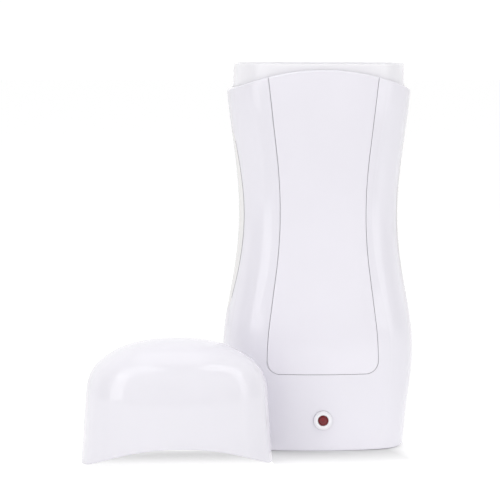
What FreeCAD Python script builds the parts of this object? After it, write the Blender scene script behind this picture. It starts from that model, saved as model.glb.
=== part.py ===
import FreeCAD, Part

import math
import os

import Sketcher
from FreeCAD import Placement, Rotation, Vector

# Roll-on wax heater: an hourglass housing of two moulded shells round a heated well that
# takes a 100 ml wax cartridge, with a lift-off dome cap. Millimetres, +Z up, the front
# faces -Y, and the origin is the middle of the resting face of the foot ring.

SIZES = (
    # The housing's outer form: height, half width and half depth of each station.
    ("foot_height", -0.6, "lowest station, just under the shells' lower edge"),
    ("foot_half_width", 33.6, ""),
    ("foot_half_depth", 24.6, ""),
    ("lower_height", 20.0, "station at the pilot lamp"),
    ("lower_half_width", 36.3, ""),
    ("lower_half_depth", 25.35, ""),
    ("belly_height", 41.0, "widest station"),
    ("belly_half_width", 37.8, ""),
    ("belly_half_depth", 26.0, ""),
    ("hip_height", 66.0, "station between belly and waist"),
    ("hip_half_width", 34.0, ""),
    ("hip_half_depth", 24.7, ""),
    ("waist_height", 93.0, "narrowest station, where the hand holds it"),
    ("waist_half_width", 31.5, ""),
    ("waist_half_depth", 23.7, ""),
    ("chest_height", 116.0, "station between waist and shoulder"),
    ("chest_half_width", 33.2, ""),
    ("chest_half_depth", 24.4, ""),
    ("shoulder_height", 139.0, "station just under the cap's rim"),
    ("shoulder_half_width", 36.15, ""),
    ("shoulder_half_depth", 25.5, ""),
    ("brow_rise", 6.8, "from the rim's apex up to the highest station"),
    ("brow_half_width", 36.6, ""),
    ("brow_half_depth", 25.7, ""),
    ("front_radius", 75.0, "bulge of the front and the back in plan"),
    ("side_radius", 36.0, "bulge of the sides in plan"),
    ("corner_radius", 15.0, "rounding between front and side in plan"),
    ("base_gap", 0.2, "clear height under the shells' lower edge"),
    ("base_round", 1.0, "fillet round the shells' lower edge"),
    ("arch_apex", 149.2, "height of the arched rim at its middle"),
    ("arch_radius", 85.4, "radius of the arched rim, seen from the front"),
    ("rim_round", 0.8, "fillet of the rim's outer edge"),
    # Shells and the parting line between them, seen from the side.
    ("shell_wall", 2.2, "wall of both shells"),
    ("seam_gap", 0.35, "open line between the two shells"),
    ("seam_back", 6.0, "how far behind the middle the parting line runs"),
    ("seam_front", -10.0, "where it comes furthest forward, at the waist"),
    ("seam_middle", 90.0, "height of that place"),
    ("seam_bow", 130.0, "radius of its long bow at the waist"),
    ("seam_reach", 31.0, "half the height of the long bow"),
    ("seam_outer_bend", 7.0, "radius where the bow turns back"),
    ("seam_turn", 80.0, "how far it turns back above and below the bow, in degrees"),
    ("seam_inner_bend", 5.0, "radius where it turns upright again"),
    # Inset front panel.
    ("panel_thickness", 1.0, ""),
    ("panel_glue", 0.05, "film of glue behind the panel"),
    ("panel_gap", 0.2, "open line round the panel"),
    ("panel_top_half", 22.1, "half width at the height of the rim's apex"),
    ("panel_waist_half", 16.9, "half width at the waist"),
    ("panel_low_half", 21.95, "half width above the lower corners"),
    ("panel_top_run", 33.6, "straight stretch of its side under the rim's apex"),
    ("panel_low_run", 20.6, "straight stretch of its side below the waist"),
    ("panel_bend_share", 0.59, "part of the lower bends that belongs to the waist's"),
    ("panel_bottom", 30.3, "height of the lower edge"),
    ("panel_corner", 5.0, "radius of the lower corners"),
    ("panel_pad", 0.6, "extra wall behind the panel"),
    ("panel_pad_margin", 1.6, "how far that wall reaches past the panel"),
    ("peg_radius", 1.3, "heat-staked pegs on the panel's back"),
    ("peg_clearance", 0.1, "round a peg in its hole"),
    ("peg_proud", 0.5, "how far a peg stands through the wall"),
    ("peg_half_spacing", 10.5, ""),
    ("peg_low", 46.0, "height of the lower pegs"),
    ("peg_high", 111.0, "height of the upper pegs"),
    # Well liner: the collar above the rim and the cup that takes the cartridge.
    ("liner_clearance", 0.2, "between the collar and the shells"),
    ("collar_proud", 2.4, "from the rim's apex up to the collar's upper edge"),
    ("collar_top_half_width", 33.6, ""),
    ("collar_top_half_depth", 22.9, ""),
    ("collar_draft", 0.045, "widening of the collar for each millimetre down"),
    ("collar_wall", 1.8, ""),
    ("collar_edge", 0.5, "rounding of the collar's upper edge"),
    ("bead_drop", 18.2, "from the rim's apex down to the bead that snaps into the shells"),
    ("bead_thickness", 1.5, ""),
    ("bead_reach", 0.5, "how far the bead stands out"),
    ("bead_play", 0.15, "between the bead and its groove"),
    ("floor_drop", 6.0, "from the bead down to the step between collar and cup"),
    ("shelf_reach", 2.0, "how far the shelf under the collar stands in"),
    ("shelf_thickness", 2.0, ""),
    ("shelf_cup_gap", 0.4, "between the shelf and the cup that passes through it"),
    ("cup_half_width", 26.1, "inside, for a cartridge 51 mm wide"),
    ("cup_half_depth", 16.5, "inside, for a cartridge 32 mm deep"),
    ("cup_round", 11.5, "inside corner radius in plan"),
    ("cup_wall", 1.5, ""),
    ("cup_floor", 45.0, "height of the floor that the cartridge stands on"),
    ("cup_shift", -1.0, "the cup sits forward to leave room for the heater"),
    ("guide_rib_width", 1.6, "ribs that centre the cartridge"),
    ("guide_rib_reach", 0.6, ""),
    ("guide_rib_half_spacing", 10.0, ""),
    ("guide_rib_drop", 10.0, "from the step down to the ribs' upper ends"),
    # Base cover and foot ring.
    ("foot_thickness", 1.0, "rubber foot ring under the cover"),
    ("foot_inset", 9.0, "from the housing's outline in to the ring"),
    ("foot_width", 4.0, ""),
    ("cover_thickness", 2.4, ""),
    ("cover_clearance", 0.25, "between the cover and the shells"),
    ("post_radius", 3.6, "posts that the cover is screwed to"),
    ("post_half_spacing", 25.2, ""),
    ("post_half_depth", 13.5, ""),
    ("post_top", 11.0, ""),
    # Bosses and screws.
    ("boss_radius", 3.2, "bosses that join the two shells"),
    ("boss_half_spacing", 20.0, ""),
    ("boss_low", 17.0, "height of the lower bosses"),
    ("boss_high", 36.0, "height of the upper bosses"),
    ("boss_meet", 5.0, "where front and rear bosses meet"),
    ("screw_radius", 1.3, "shank of the casing and cover screws"),
    ("screw_head_radius", 2.5, ""),
    ("screw_head_height", 1.4, ""),
    ("screw_length", 9.0, "shank of a casing screw"),
    ("cover_screw_length", 6.0, "shank of a cover screw"),
    ("screw_pass", 0.3, "radial clearance where a screw passes through"),
    ("screw_bite", 0.05, "radial clearance in the hole it bites into"),
    ("screw_spare", 1.0, "hole left past a casing screw's tip"),
    ("screw_seat", 2.5, "solid wall under a casing screw's head"),
    ("counterbore_play", 0.4, "round a screw head in its counterbore"),
    ("recess_width", 0.7, "cross recess in every screw head"),
    ("recess_length", 2.6, ""),
    ("recess_depth", 0.8, ""),
    ("screw_rounding", 0.35, "rounding of a head, as a share of its height"),
    ("screw_tip", 1.2, "length of a screw's point, in radii of its shank"),
    ("screw_tip_end", 0.25, "radius of the point's end, in the same radii"),
    # Pilot lamp in the front: lens, bezel, lamp, board.
    ("lamp_height", 12.3, "height of the pilot lamp's axis"),
    ("lens_radius", 1.95, ""),
    ("lens_back", -20.4, "rear end of the lens"),
    ("lens_collar_radius", 2.6, "step that keeps the lens behind the bezel"),
    ("lens_proud", 0.3, "how far the lens stands in front of the bezel"),
    ("lens_dome", 0.5, "height of the lens's domed face"),
    ("bezel_radius", 3.8, ""),
    ("bezel_sleeve_radius", 2.9, "part of the bezel inside the shell"),
    ("bezel_seat", -24.8, "flat that the bezel's flange rests on"),
    ("bezel_flange", 1.1, "thickness of the flange"),
    ("bezel_round", 0.45, "rounding of the flange's edges"),
    ("bezel_length", 3.0, "sleeve behind the flange"),
    ("bezel_play", 0.1, "round the bezel and round the lens"),
    ("led_radius", 1.5, ""),
    ("led_rim_radius", 1.9, ""),
    ("led_rim_height", 1.0, ""),
    ("led_length", 4.6, "from the board to the top of the dome"),
    ("led_leg_spacing", 2.54, ""),
    ("led_leg_radius", 0.25, ""),
    ("leg_proud", 0.7, "how far a leg stands through the board"),
    ("leg_play", 0.05, "round a leg or a stake in its hole"),
    ("board_front", -15.2, "front face of the board"),
    ("board_thickness", 1.6, ""),
    ("board_width", 30.0, ""),
    ("board_bottom", 5.0, ""),
    ("board_top", 25.0, ""),
    ("board_post_radius", 2.3, ""),
    ("board_post_half_spacing", 11.5, ""),
    ("board_post_height", 21.0, ""),
    ("board_screw_radius", 1.0, ""),
    ("board_screw_head_radius", 1.9, ""),
    ("board_screw_head_height", 1.1, ""),
    ("board_screw_length", 5.0, ""),
    ("part_radius", 1.1, "body of the resistor and the diode"),
    ("part_length", 6.3, ""),
    ("part_span", 10.0, "distance between their legs"),
    ("part_leg_radius", 0.3, ""),
    ("resistor_height", 16.2, ""),
    ("diode_height", 8.4, ""),
    # Heater: plate in the cup's rear wall, film, ceramic stones, clamp.
    ("plate_half_width", 13.5, "pad that fills the window in the cup"),
    ("plate_rise", 2.0, "from the cup's floor up to the pad"),
    ("plate_height", 40.0, ""),
    ("window_play", 0.1, "between the pad and the cup's window"),
    ("flange_thickness", 1.0, "flange behind the cup's wall"),
    ("flange_half_width", 16.4, ""),
    ("flange_margin", 3.1, "how far the flange reaches past the pad"),
    ("tab_half_width", 16.0, "tongue below the cup that carries the cut-outs"),
    ("tab_reach", 8.0, "from the thermostat's axis down to the tongue's end"),
    ("stake_radius", 1.0, "posts of the cup that hold the flange"),
    ("stake_half_spacing", 15.0, ""),
    ("stake_inset", 1.6, "from the flange's end to a stake"),
    ("stake_proud", 0.5, "height of a stake behind the flange"),
    ("plate_hole", 2.05, "depth of every hole in the plate"),
    ("film_thickness", 0.25, "insulating film round the stones"),
    ("film_margin", 1.0, "how far the film reaches past the stones"),
    ("stone_half_width", 9.0, ""),
    ("stone_height", 13.0, ""),
    ("stone_thickness", 1.7, ""),
    ("stone_gap", 2.0, "between the two stones"),
    ("clamp_half_width", 4.5, ""),
    ("clamp_thickness", 0.4, ""),
    ("clamp_foot", 4.5, "length of each foot of the clamp"),
    ("clamp_screw_radius", 1.0, ""),
    ("clamp_screw_head_radius", 1.9, ""),
    ("clamp_screw_head_height", 1.0, ""),
    ("clamp_screw_length", 1.9, ""),
    # Thermostat and thermal fuse on the tongue.
    ("cutout_drop", 9.9, "from the flange down to the thermostat's axis"),
    ("thermostat_side", 4.0, "thermostat's offset to the right"),
    ("thermostat_radius", 7.6, ""),
    ("thermostat_cup", 2.0, "depth of its metal cup"),
    ("thermostat_body_radius", 7.0, ""),
    ("thermostat_length", 8.0, "whole depth without the terminals"),
    ("ear_half_length", 11.8, ""),
    ("ear_half_width", 2.8, ""),
    ("ear_thickness", 0.8, ""),
    ("ear_hole_half_spacing", 9.7, ""),
    ("ear_screw_length", 1.8, ""),
    ("terminal_half_spacing", 4.0, ""),
    ("terminal_half_width", 1.6, ""),
    ("terminal_thickness", 0.6, ""),
    ("terminal_length", 4.5, ""),
    ("fuse_side", -12.1, "thermal fuse's offset to the left"),
    ("fuse_drop", 1.6, "from the thermostat's axis down to its middle"),
    ("fuse_radius", 1.9, ""),
    ("fuse_length", 9.5, ""),
    ("fuse_lead_radius", 0.5, ""),
    ("fuse_lead_length", 1.6, ""),
    ("clip_thickness", 0.5, "steel clip over the fuse"),
    ("clip_half_height", 2.5, ""),
    ("clip_foot", 1.4, "foot of the clip on each side"),
    # Mains inlet in the back.
    ("inlet_height", 14.0, ""),
    ("inlet_face", 24.1, "front of the inlet, a little inside the shell"),
    ("inlet_half_width", 10.5, ""),
    ("inlet_half_height", 6.0, ""),
    ("inlet_corner", 2.0, ""),
    ("inlet_rear", 7.0, "inner end of the inlet"),
    ("inlet_flange", 1.6, ""),
    ("inlet_flange_margin", 2.2, ""),
    ("inlet_seat", 21.0, "flat inside the rear shell that the flange meets"),
    ("inlet_play", 0.15, ""),
    ("cavity_radius", 4.1, "the two round lobes of the inlet's mouth"),
    ("cavity_bridge", 2.9, "half height of the mouth between the lobes"),
    ("cavity_depth", 11.5, ""),
    ("pin_half_spacing", 4.3, ""),
    ("pin_radius", 1.2, ""),
    ("pin_short", 1.5, "pin tips stay this far inside the mouth"),
    ("pin_tail", 2.5, "solder tail inside the housing"),
    ("pin_tail_radius", 0.8, ""),
    ("pin_nose", 0.72, "rounding of a pin's tip"),
    # Insulated leads inside the housing.
    ("lead_radius", 0.8, ""),
    ("lead_exit", 6.0, "straight run out of a terminal"),
    ("lead_loop", 3.4, "height of the turn above the fuse"),
    ("lead_bow", 1.0, "slack sideways between two ends"),
    ("lead_room", 2.0, "how far behind the plate the heater's leads run"),
    ("lead_sweep", 0.45, "share of the shorter run beside it that a bend takes up"),
    ("heater_lead_side", 6.0, "their distance from the middle"),
    # The cap, which stands beside the housing.
    ("cap_half_width", 36.5, "at the low ends of its rim"),
    ("cap_half_depth", 25.4, ""),
    ("cap_skirt", 27.0, "height of the nearly upright skirt"),
    ("cap_skirt_half_width", 34.65, "at the top of the skirt"),
    ("cap_skirt_half_depth", 24.5, ""),
    ("cap_crown", 20.6, "height of the rounded crown above the skirt"),
    ("cap_fullness", 2.15, "power of the crown's curve, 2 for an ellipse"),
    ("cap_wall", 1.8, ""),
    ("cap_round", 0.25, "fillet of its rim's outer edge"),
    ("cap_side", -58.25, "where the cap stands, to the left of the middle"),
    ("cap_front", -47.7, "and in front of it"),
    ("cap_turn", 0.8, "its turn about the vertical, in degrees"),
)

STATIONS = ("foot", "lower", "belly", "hip", "waist", "chest", "shoulder", "brow")
HULL_SECTIONS = 13
PLACES_ON_ARC = 8
UP = Vector(0, 0, 1)
FORWARD = Vector(0, -1, 0)
BACKWARD = Vector(0, 1, 0)

doc = FreeCAD.newDocument("roll_on_wax_heater")
dims = doc.addObject("Spreadsheet::Sheet", "Dims")
for row, (alias, millimetres, note) in enumerate(SIZES, start=1):
    dims.set(f"A{row}", alias)
    dims.set(f"B{row}", str(millimetres))
    dims.set(f"C{row}", note)
    dims.setAlias(f"B{row}", alias)
doc.recompute()

BROW_HEIGHT = dims.arch_apex + dims.brow_rise
COLLAR_TOP = dims.arch_apex + dims.collar_proud
BEAD_HEIGHT = dims.arch_apex - dims.bead_drop
COLLAR_FLOOR = BEAD_HEIGHT - dims.floor_drop
FAR = 2 * BROW_HEIGHT  # reach of the cutting blocks, well past every wall

nodes = []


# ---------------------------------------------------------------- how pieces enter the document

def add_feature(label, shape, placement=None):
    """A sub-part whose moulded form is built below with Part's own functions."""
    feature = doc.addObject("Part::Feature", label)
    feature.Shape = shape
    if placement is not None:
        feature.Placement = placement
    nodes.append(feature)
    return feature


def add_body(label, axis_to=None, at=None):
    """A PartDesign body; axis_to turns its own Z that way, and at places it by expressions."""
    body = doc.addObject("PartDesign::Body", label)
    if axis_to is not None:
        body.Placement = Placement(Vector(), Rotation(UP, axis_to))
    for coordinate, expression in zip("xyz", at or ()):
        body.setExpression(f"Placement.Base.{coordinate}", expression)
    nodes.append(body)
    return body


def add_sketch(body, name, role, offset="0"):
    """A sketch on one of the body's own origin planes, moved along the plane's normal."""
    sketch = body.newObject("Sketcher::SketchObject", name)
    plane = next(item for item in body.Origin.OriginFeatures if item.Role == role)
    sketch.AttachmentSupport = [(plane, "")]
    sketch.MapMode = "FlatFace"
    sketch.setExpression("AttachmentOffset.Base.z", offset)
    return sketch


def hold_point(sketch, edge, point, across, along):
    """Dimension one point from the sketch's origin with two expressions."""
    for kind, expression in (("DistanceX", across), ("DistanceY", along)):
        number = sketch.addConstraint(Sketcher.Constraint(kind, -1, 1, edge, point, 1.0))
        sketch.setExpression(f"Constraints[{number}]", expression)


def draw_outline(sketch, corners):
    """A closed polygon; each corner is a pair of expressions."""
    first = sketch.GeometryCount
    count = len(corners)
    seeds = []
    for step in range(count):
        angle = 2 * math.pi * step / count
        seeds.append(Vector(10 * math.cos(angle), 10 * math.sin(angle), 0))
    for step in range(count):
        sketch.addGeometry(Part.LineSegment(seeds[step], seeds[(step + 1) % count]), False)
    for step in range(count):
        following = first + (step + 1) % count
        sketch.addConstraint(Sketcher.Constraint("Coincident", first + step, 2, following, 1))
    for step, (across, along) in enumerate(corners):
        hold_point(sketch, first + step, 1, across, along)


def draw_domed_profile(sketch, corners, dome_centre):
    """A half profile up from the axis, with an arc about dome_centre back to the axis."""
    count = len(corners)
    seeds = [Vector(step, step * step, 0) for step in range(count)]
    for start, end in zip(seeds, seeds[1:]):
        edge = sketch.addGeometry(Part.LineSegment(start, end), False)
        if edge > 0:
            sketch.addConstraint(Sketcher.Constraint("Coincident", edge - 1, 2, edge, 1))
    for step, (across, along) in enumerate(corners[:-1]):
        hold_point(sketch, step, 1, across, along)
    hold_point(sketch, count - 2, 2, *corners[-1])
    doc.recompute()
    shoulder = sketch.Geometry[count - 2].EndPoint
    centre = Vector(0, shoulder.y, 0)
    quarter = Part.ArcOfCircle(Part.Circle(centre, UP, shoulder.x), 0, math.pi / 2)
    arc = sketch.addGeometry(quarter, False)
    down = Part.LineSegment(quarter.EndPoint, sketch.Geometry[0].StartPoint)
    axis_line = sketch.addGeometry(down, False)
    for edge, following in ((arc - 1, arc), (arc, axis_line), (axis_line, 0)):
        sketch.addConstraint(Sketcher.Constraint("Coincident", edge, 2, following, 1))
    hold_point(sketch, arc, 3, "0", dome_centre)
    sketch.addConstraint(Sketcher.Constraint("PointOnObject", arc, 2, -2))


def draw_rectangle(sketch, left, bottom, right, top):
    draw_outline(sketch, [(left, bottom), (right, bottom), (right, top), (left, top)])


def draw_circle(sketch, radius, across="0", along="0"):
    edge = sketch.addGeometry(Part.Circle(Vector(1, 1, 0), UP, 1.0), False)
    number = sketch.addConstraint(Sketcher.Constraint("Radius", edge, 1.0))
    sketch.setExpression(f"Constraints[{number}]", radius)
    hold_point(sketch, edge, 3, across, along)


def add_pad(body, sketch, length, name="pad", reverse=False):
    pad = body.newObject("PartDesign::Pad", name)
    pad.Profile = sketch
    pad.setExpression("Length", length)
    pad.Reversed = reverse
    return pad


def add_pocket(body, sketch, depth, name="pocket", reverse=False):
    doc.recompute()
    before = body.Shape.Volume
    pocket = body.newObject("PartDesign::Pocket", name)
    pocket.Profile = sketch
    pocket.setExpression("Length", depth)
    pocket.Reversed = reverse
    doc.recompute()
    if body.Shape.Volume > before - 0.01:
        raise RuntimeError(f"{body.Label}: {name} removes nothing")
    return pocket


def add_revolution(body, sketch, name="turned"):
    turned = body.newObject("PartDesign::Revolution", name)
    turned.Profile = sketch
    turned.ReferenceAxis = (sketch, ["V_Axis"])
    turned.Angle = 360.0
    return turned


def round_front(body, base, radius):
    """Fillet the edges at the foremost end of a turned feature."""
    doc.recompute()
    edges = base.Shape.Edges
    end = max(edge.BoundBox.ZMin for edge in edges)
    names = [f"Edge{number}" for number, edge in enumerate(edges, start=1)
             if edge.BoundBox.ZMin > end - 1e-6]
    rounding = body.newObject("PartDesign::Fillet", "rounding")
    rounding.Base = (base, names)
    rounding.setExpression("Radius", radius)
    return rounding


# ---------------------------------------------------------------- forms of the housing

def oval(half_width, half_depth, height, inset=0.0):
    """Plan outline of the housing: eight tangent arcs, all moved inward by inset."""
    width = half_width - inset
    depth = half_depth - inset
    front = dims.front_radius - inset
    side = dims.side_radius - inset
    corner = dims.corner_radius - inset
    front_centre = Vector(0, depth - front, 0)
    side_centre = Vector(width - side, 0, 0)
    # The corner arc's centre lies on a circle about each of the two other centres.
    front_reach = front - corner
    side_reach = side - corner
    line = side_centre - front_centre
    along = (front_reach ** 2 - side_reach ** 2 + line.Length ** 2) / (2 * line.Length)
    off = math.sqrt(front_reach ** 2 - along ** 2)
    way = Vector(line).normalize()
    outward = Vector(way.y, -way.x, 0)
    if outward.x < 0:
        outward = outward.negative()
    centre = front_centre + way * along + outward * off
    first = centre + (centre - front_centre).normalize() * corner
    last = centre + (centre - side_centre).normalize() * corner
    middle = centre + (first + last - centre * 2).normalize() * corner

    def mirrored(point, across, deep):
        return Vector(point.x * across, point.y * deep, height)

    quarter = ((1, 1), (-1, 1), (-1, -1), (1, -1))
    edges = []
    for number, (across, deep) in enumerate(quarter):
        start, end = (last, first) if number % 2 == 0 else (first, last)
        arc = Part.Arc(mirrored(start, across, deep), mirrored(middle, across, deep),
                       mirrored(end, across, deep))
        edges.append(arc.toShape())
        after_across, after_deep = quarter[(number + 1) % 4]
        top = Vector(0, depth * deep, height) if number % 2 == 0 else Vector(width * across, 0, height)
        bridge = Part.Arc(mirrored(end, across, deep), top, mirrored(end, after_across, after_deep))
        edges.append(bridge.toShape())
    return Part.Wire(edges)


def station_curve():
    """Half width and half depth as one smooth curve of the height, which is its parameter."""
    heights = [getattr(dims, f"{name}_height") for name in STATIONS[:-1]] + [BROW_HEIGHT]
    points = [Vector(height, getattr(dims, f"{name}_half_width"), getattr(dims, f"{name}_half_depth"))
              for name, height in zip(STATIONS, heights)]
    curve = Part.BSplineCurve()
    curve.interpolate(Points=points, Parameters=heights)
    return curve


profile_curve = station_curve()
hulls = {}


def hull(inset):
    """The housing's solid form with every wall moved inward by inset.

    The sections stand at even heights, because a loft through uneven ones ripples.
    """
    if inset not in hulls:
        step = (BROW_HEIGHT - dims.foot_height) / (HULL_SECTIONS - 1)
        sections = []
        for number in range(HULL_SECTIONS):
            height = dims.foot_height + step * number
            place = profile_curve.value(height)
            sections.append(oval(place.y, place.z, height, inset))
        hulls[inset] = Part.makeLoft(sections, True, False)
    return hulls[inset]


def slab(bottom, top):
    """Everything between two heights."""
    return Part.makeBox(2 * FAR, 2 * FAR, top - bottom, Vector(-FAR, -FAR, bottom))


def block(low, high):
    """A box from its lowest to its highest corner."""
    size = high - low
    return Part.makeBox(size.x, size.y, size.z, low)


def rod(radius, start, end):
    """A round bar between two points."""
    along = end - start
    return Part.makeCylinder(radius, along.Length, start, along)


def rounded_prism(half_width, half_depth, corner, middle_y, bottom, top):
    """An upright prism with rounded corners in plan."""
    low = Vector(-half_width, middle_y - half_depth, bottom)
    box = Part.makeBox(2 * half_width, 2 * half_depth, top - bottom, low)
    upright = [edge for edge in box.Edges if abs(edge.tangentAt(edge.FirstParameter).z) > 0.99]
    return box.makeFillet(corner, upright)


def arch_cylinder(apex):
    """The round bar along Y whose top makes an arched rim."""
    foot = Vector(0, -FAR, apex - dims.arch_radius)
    bar = Part.makeCylinder(dims.arch_radius, 2 * FAR, foot, BACKWARD)
    # Turned over, so that the line where its round face closes on itself lies underneath.
    bar.rotate(foot, BACKWARD, 180)
    return bar


def below_arch():
    """Everything under the housing's arched rim."""
    return arch_cylinder(dims.arch_apex).fuse(slab(-FAR, dims.arch_apex - dims.arch_radius))


def rim_sagitta(half_width):
    """How far the arched rim falls from its apex to a place half_width out."""
    return dims.arch_radius - math.sqrt(dims.arch_radius ** 2 - half_width ** 2)


def turn_arc(point, heading, radius, angle):
    """An arc in the YZ plane that starts at point and turns by angle, positive towards the back.

    A heading of 0 points up, and a positive one leans back.
    """
    sign = 1 if angle > 0 else -1
    centre = point + Vector(0, math.cos(heading), -math.sin(heading)) * radius * sign

    def at(turned):
        lean = heading + turned
        return centre - Vector(0, math.cos(lean), -math.sin(lean)) * radius * sign

    arc = Part.Arc(point, at(angle / 2), at(angle)).toShape()
    return arc, at(angle), heading + angle


def seam_half(shift):
    """The parting line's upper half: the long bow, a turn back, and a turn upright."""
    bow_turn = math.asin(dims.seam_reach / dims.seam_bow)
    full_turn = math.radians(dims.seam_turn)
    start = Vector(0, dims.seam_front + shift, dims.seam_middle)
    bow, point, heading = turn_arc(start, 0, dims.seam_bow, bow_turn)
    outer, point, heading = turn_arc(point, heading, dims.seam_outer_bend, full_turn - bow_turn)
    inner_rise = dims.seam_inner_bend * (1 - math.cos(full_turn))
    run = (dims.seam_back + shift - inner_rise - point.y) / math.sin(full_turn)
    onward = point + Vector(0, math.sin(heading), math.cos(heading)) * run
    straight = Part.LineSegment(point, onward).toShape()
    inner, point, heading = turn_arc(onward, heading, dims.seam_inner_bend, -full_turn)
    upright = Part.LineSegment(point, Vector(0, point.y, FAR + dims.seam_middle)).toShape()
    return [bow, outer, straight, inner, upright]


def behind_seam(shift):
    """Everything behind the parting line, which is moved back by shift."""
    upper = Part.Wire(seam_half(shift))
    mirror_at = Vector(0, 0, dims.seam_middle)
    lower = upper.mirror(mirror_at, UP)
    top = FAR + dims.seam_middle
    bottom = dims.seam_middle - FAR
    edge_y = dims.seam_back + shift
    around = Part.makePolygon([Vector(0, edge_y, top), Vector(0, FAR, top),
                               Vector(0, FAR, bottom), Vector(0, edge_y, bottom)])
    outline = Part.Wire(Part.__sortEdges__(upper.Edges + lower.Edges + around.Edges))
    side = Part.Face(outline)
    side.translate(Vector(-FAR, 0, 0))
    return side.extrude(Vector(2 * FAR, 0, 0))


def lean_and_radius(flare, rise, run):
    """How far a straight run leans that arcs join to the upright, and their radius in all.

    The arcs and the run together rise by rise and come out by flare.
    """
    lean = 2 * math.atan(flare / (rise + run))
    return lean, (rise - run * math.cos(lean)) / math.sin(lean)


def swing(start, radius, lean, outward, upward):
    """An arc in the XZ plane that leaves start upright and leans by lean, and its far end."""

    def at(angle):
        across = outward * radius * (1 - math.cos(angle))
        return start + Vector(across, 0, upward * radius * math.sin(angle))

    return Part.Arc(start, at(lean / 2), at(lean)).toShape(), at(lean)


def panel_outline(inset):
    """The panel's hourglass outline as a block that reaches forward from the middle."""
    top = dims.arch_apex + dims.panel_corner
    bottom = dims.panel_bottom + inset
    corner = dims.panel_corner - inset
    waist = Vector(dims.panel_waist_half - inset, 0, dims.waist_height)
    turn = Vector(dims.panel_low_half - inset, 0, dims.panel_bottom + dims.panel_corner)
    # Above the waist an arc swings out and a straight run goes on to the rim.
    lean, radius = lean_and_radius(dims.panel_top_half - dims.panel_waist_half,
                                   dims.arch_apex - dims.waist_height, dims.panel_top_run)
    upper_bend, run_start = swing(waist, radius + inset, lean, 1, 1)
    lid_end = Vector(run_start.x + (top - run_start.z) * math.tan(lean), 0, top)
    # Below it an arc, a run and a turn back come upright above the rounded corner.
    lean, radius = lean_and_radius(dims.panel_low_half - dims.panel_waist_half,
                                   dims.waist_height - turn.z, dims.panel_low_run)
    waist_bend, low_start = swing(waist, radius * dims.panel_bend_share + inset, lean, 1, -1)
    low_bend, low_end = swing(turn, radius * (1 - dims.panel_bend_share) - inset, lean, -1, 1)
    foot = Vector(turn.x - corner, 0, bottom)
    diagonal = corner * math.sqrt(0.5)
    middle = Vector(foot.x + diagonal, 0, turn.z - diagonal)
    right_edges = [Part.makeLine(lid_end, run_start), upper_bend, waist_bend,
                   Part.makeLine(low_start, low_end), low_bend,
                   Part.Arc(turn, middle, foot).toShape()]
    left_edges = [edge.mirror(Vector(), Vector(1, 0, 0)) for edge in right_edges]
    level = Part.makeLine(foot, Vector(-foot.x, 0, bottom))
    lid = Part.makeLine(lid_end, Vector(-lid_end.x, 0, top))
    outline = Part.Wire(Part.__sortEdges__(right_edges + left_edges + [level, lid]))
    return Part.Face(outline).extrude(FORWARD * FAR)


def corners_of(half_spacing, low, high):
    """The four places of a screw or peg pattern, as (x, z) pairs."""
    return [(side * half_spacing, height) for height in (low, high) for side in (-1, 1)]


# ---------------------------------------------------------------- the two shells

rim_space = below_arch()
outer_form = hull(0).common(rim_space).common(slab(dims.base_gap, FAR))
rim_low = dims.arch_apex - rim_sagitta(dims.brow_half_width)
rim_edges = [edge for edge in outer_form.Edges if edge.BoundBox.ZMin > rim_low - dims.rim_round]
outer_form = outer_form.makeFillet(dims.rim_round, rim_edges)
lower_edges = [edge for edge in outer_form.Edges if edge.BoundBox.ZMax < dims.base_gap + 1e-3]
outer_form = outer_form.makeFillet(dims.base_round, lower_edges)
inner_form = hull(dims.shell_wall)
mid_wall = hull(dims.shell_wall / 2)

shelf_top = COLLAR_FLOOR
shelf = mid_wall.common(slab(shelf_top - dims.shelf_thickness, shelf_top))
shelf = shelf.cut(hull(dims.shell_wall + dims.shelf_reach))
cup_room = dims.cup_wall + dims.shelf_cup_gap
shelf = shelf.cut(rounded_prism(dims.cup_half_width + cup_room, dims.cup_half_depth + cup_room,
                                dims.cup_round + cup_room, dims.cup_shift, 0, FAR))
groove_depth = dims.bead_reach + dims.bead_play - dims.liner_clearance
groove = hull(dims.shell_wall - groove_depth).common(
    slab(BEAD_HEIGHT - dims.bead_play, BEAD_HEIGHT + dims.bead_thickness + dims.bead_play))
tube = outer_form.cut(inner_form).fuse(shelf).cut(groove)

cover_bottom = dims.foot_thickness
cover_top = cover_bottom + dims.cover_thickness
boss_places = corners_of(dims.boss_half_spacing, dims.boss_low, dims.boss_high)


def cover_posts(side):
    """Upright posts on one shell that the base cover is screwed to; side is -1 for the front."""
    posts = []
    for across in (-1, 1):
        foot = Vector(across * dims.post_half_spacing, side * dims.post_half_depth, cover_top)
        post = rod(dims.post_radius, foot, foot + UP * (dims.post_top - cover_top))
        posts.append(post.common(mid_wall))
    return posts


def cover_pilots(side):
    bit = dims.screw_radius + dims.screw_bite
    holes = []
    for across in (-1, 1):
        foot = Vector(across * dims.post_half_spacing, side * dims.post_half_depth, cover_top)
        holes.append(rod(bit, foot, foot + UP * dims.cover_screw_length))
    return holes


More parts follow.
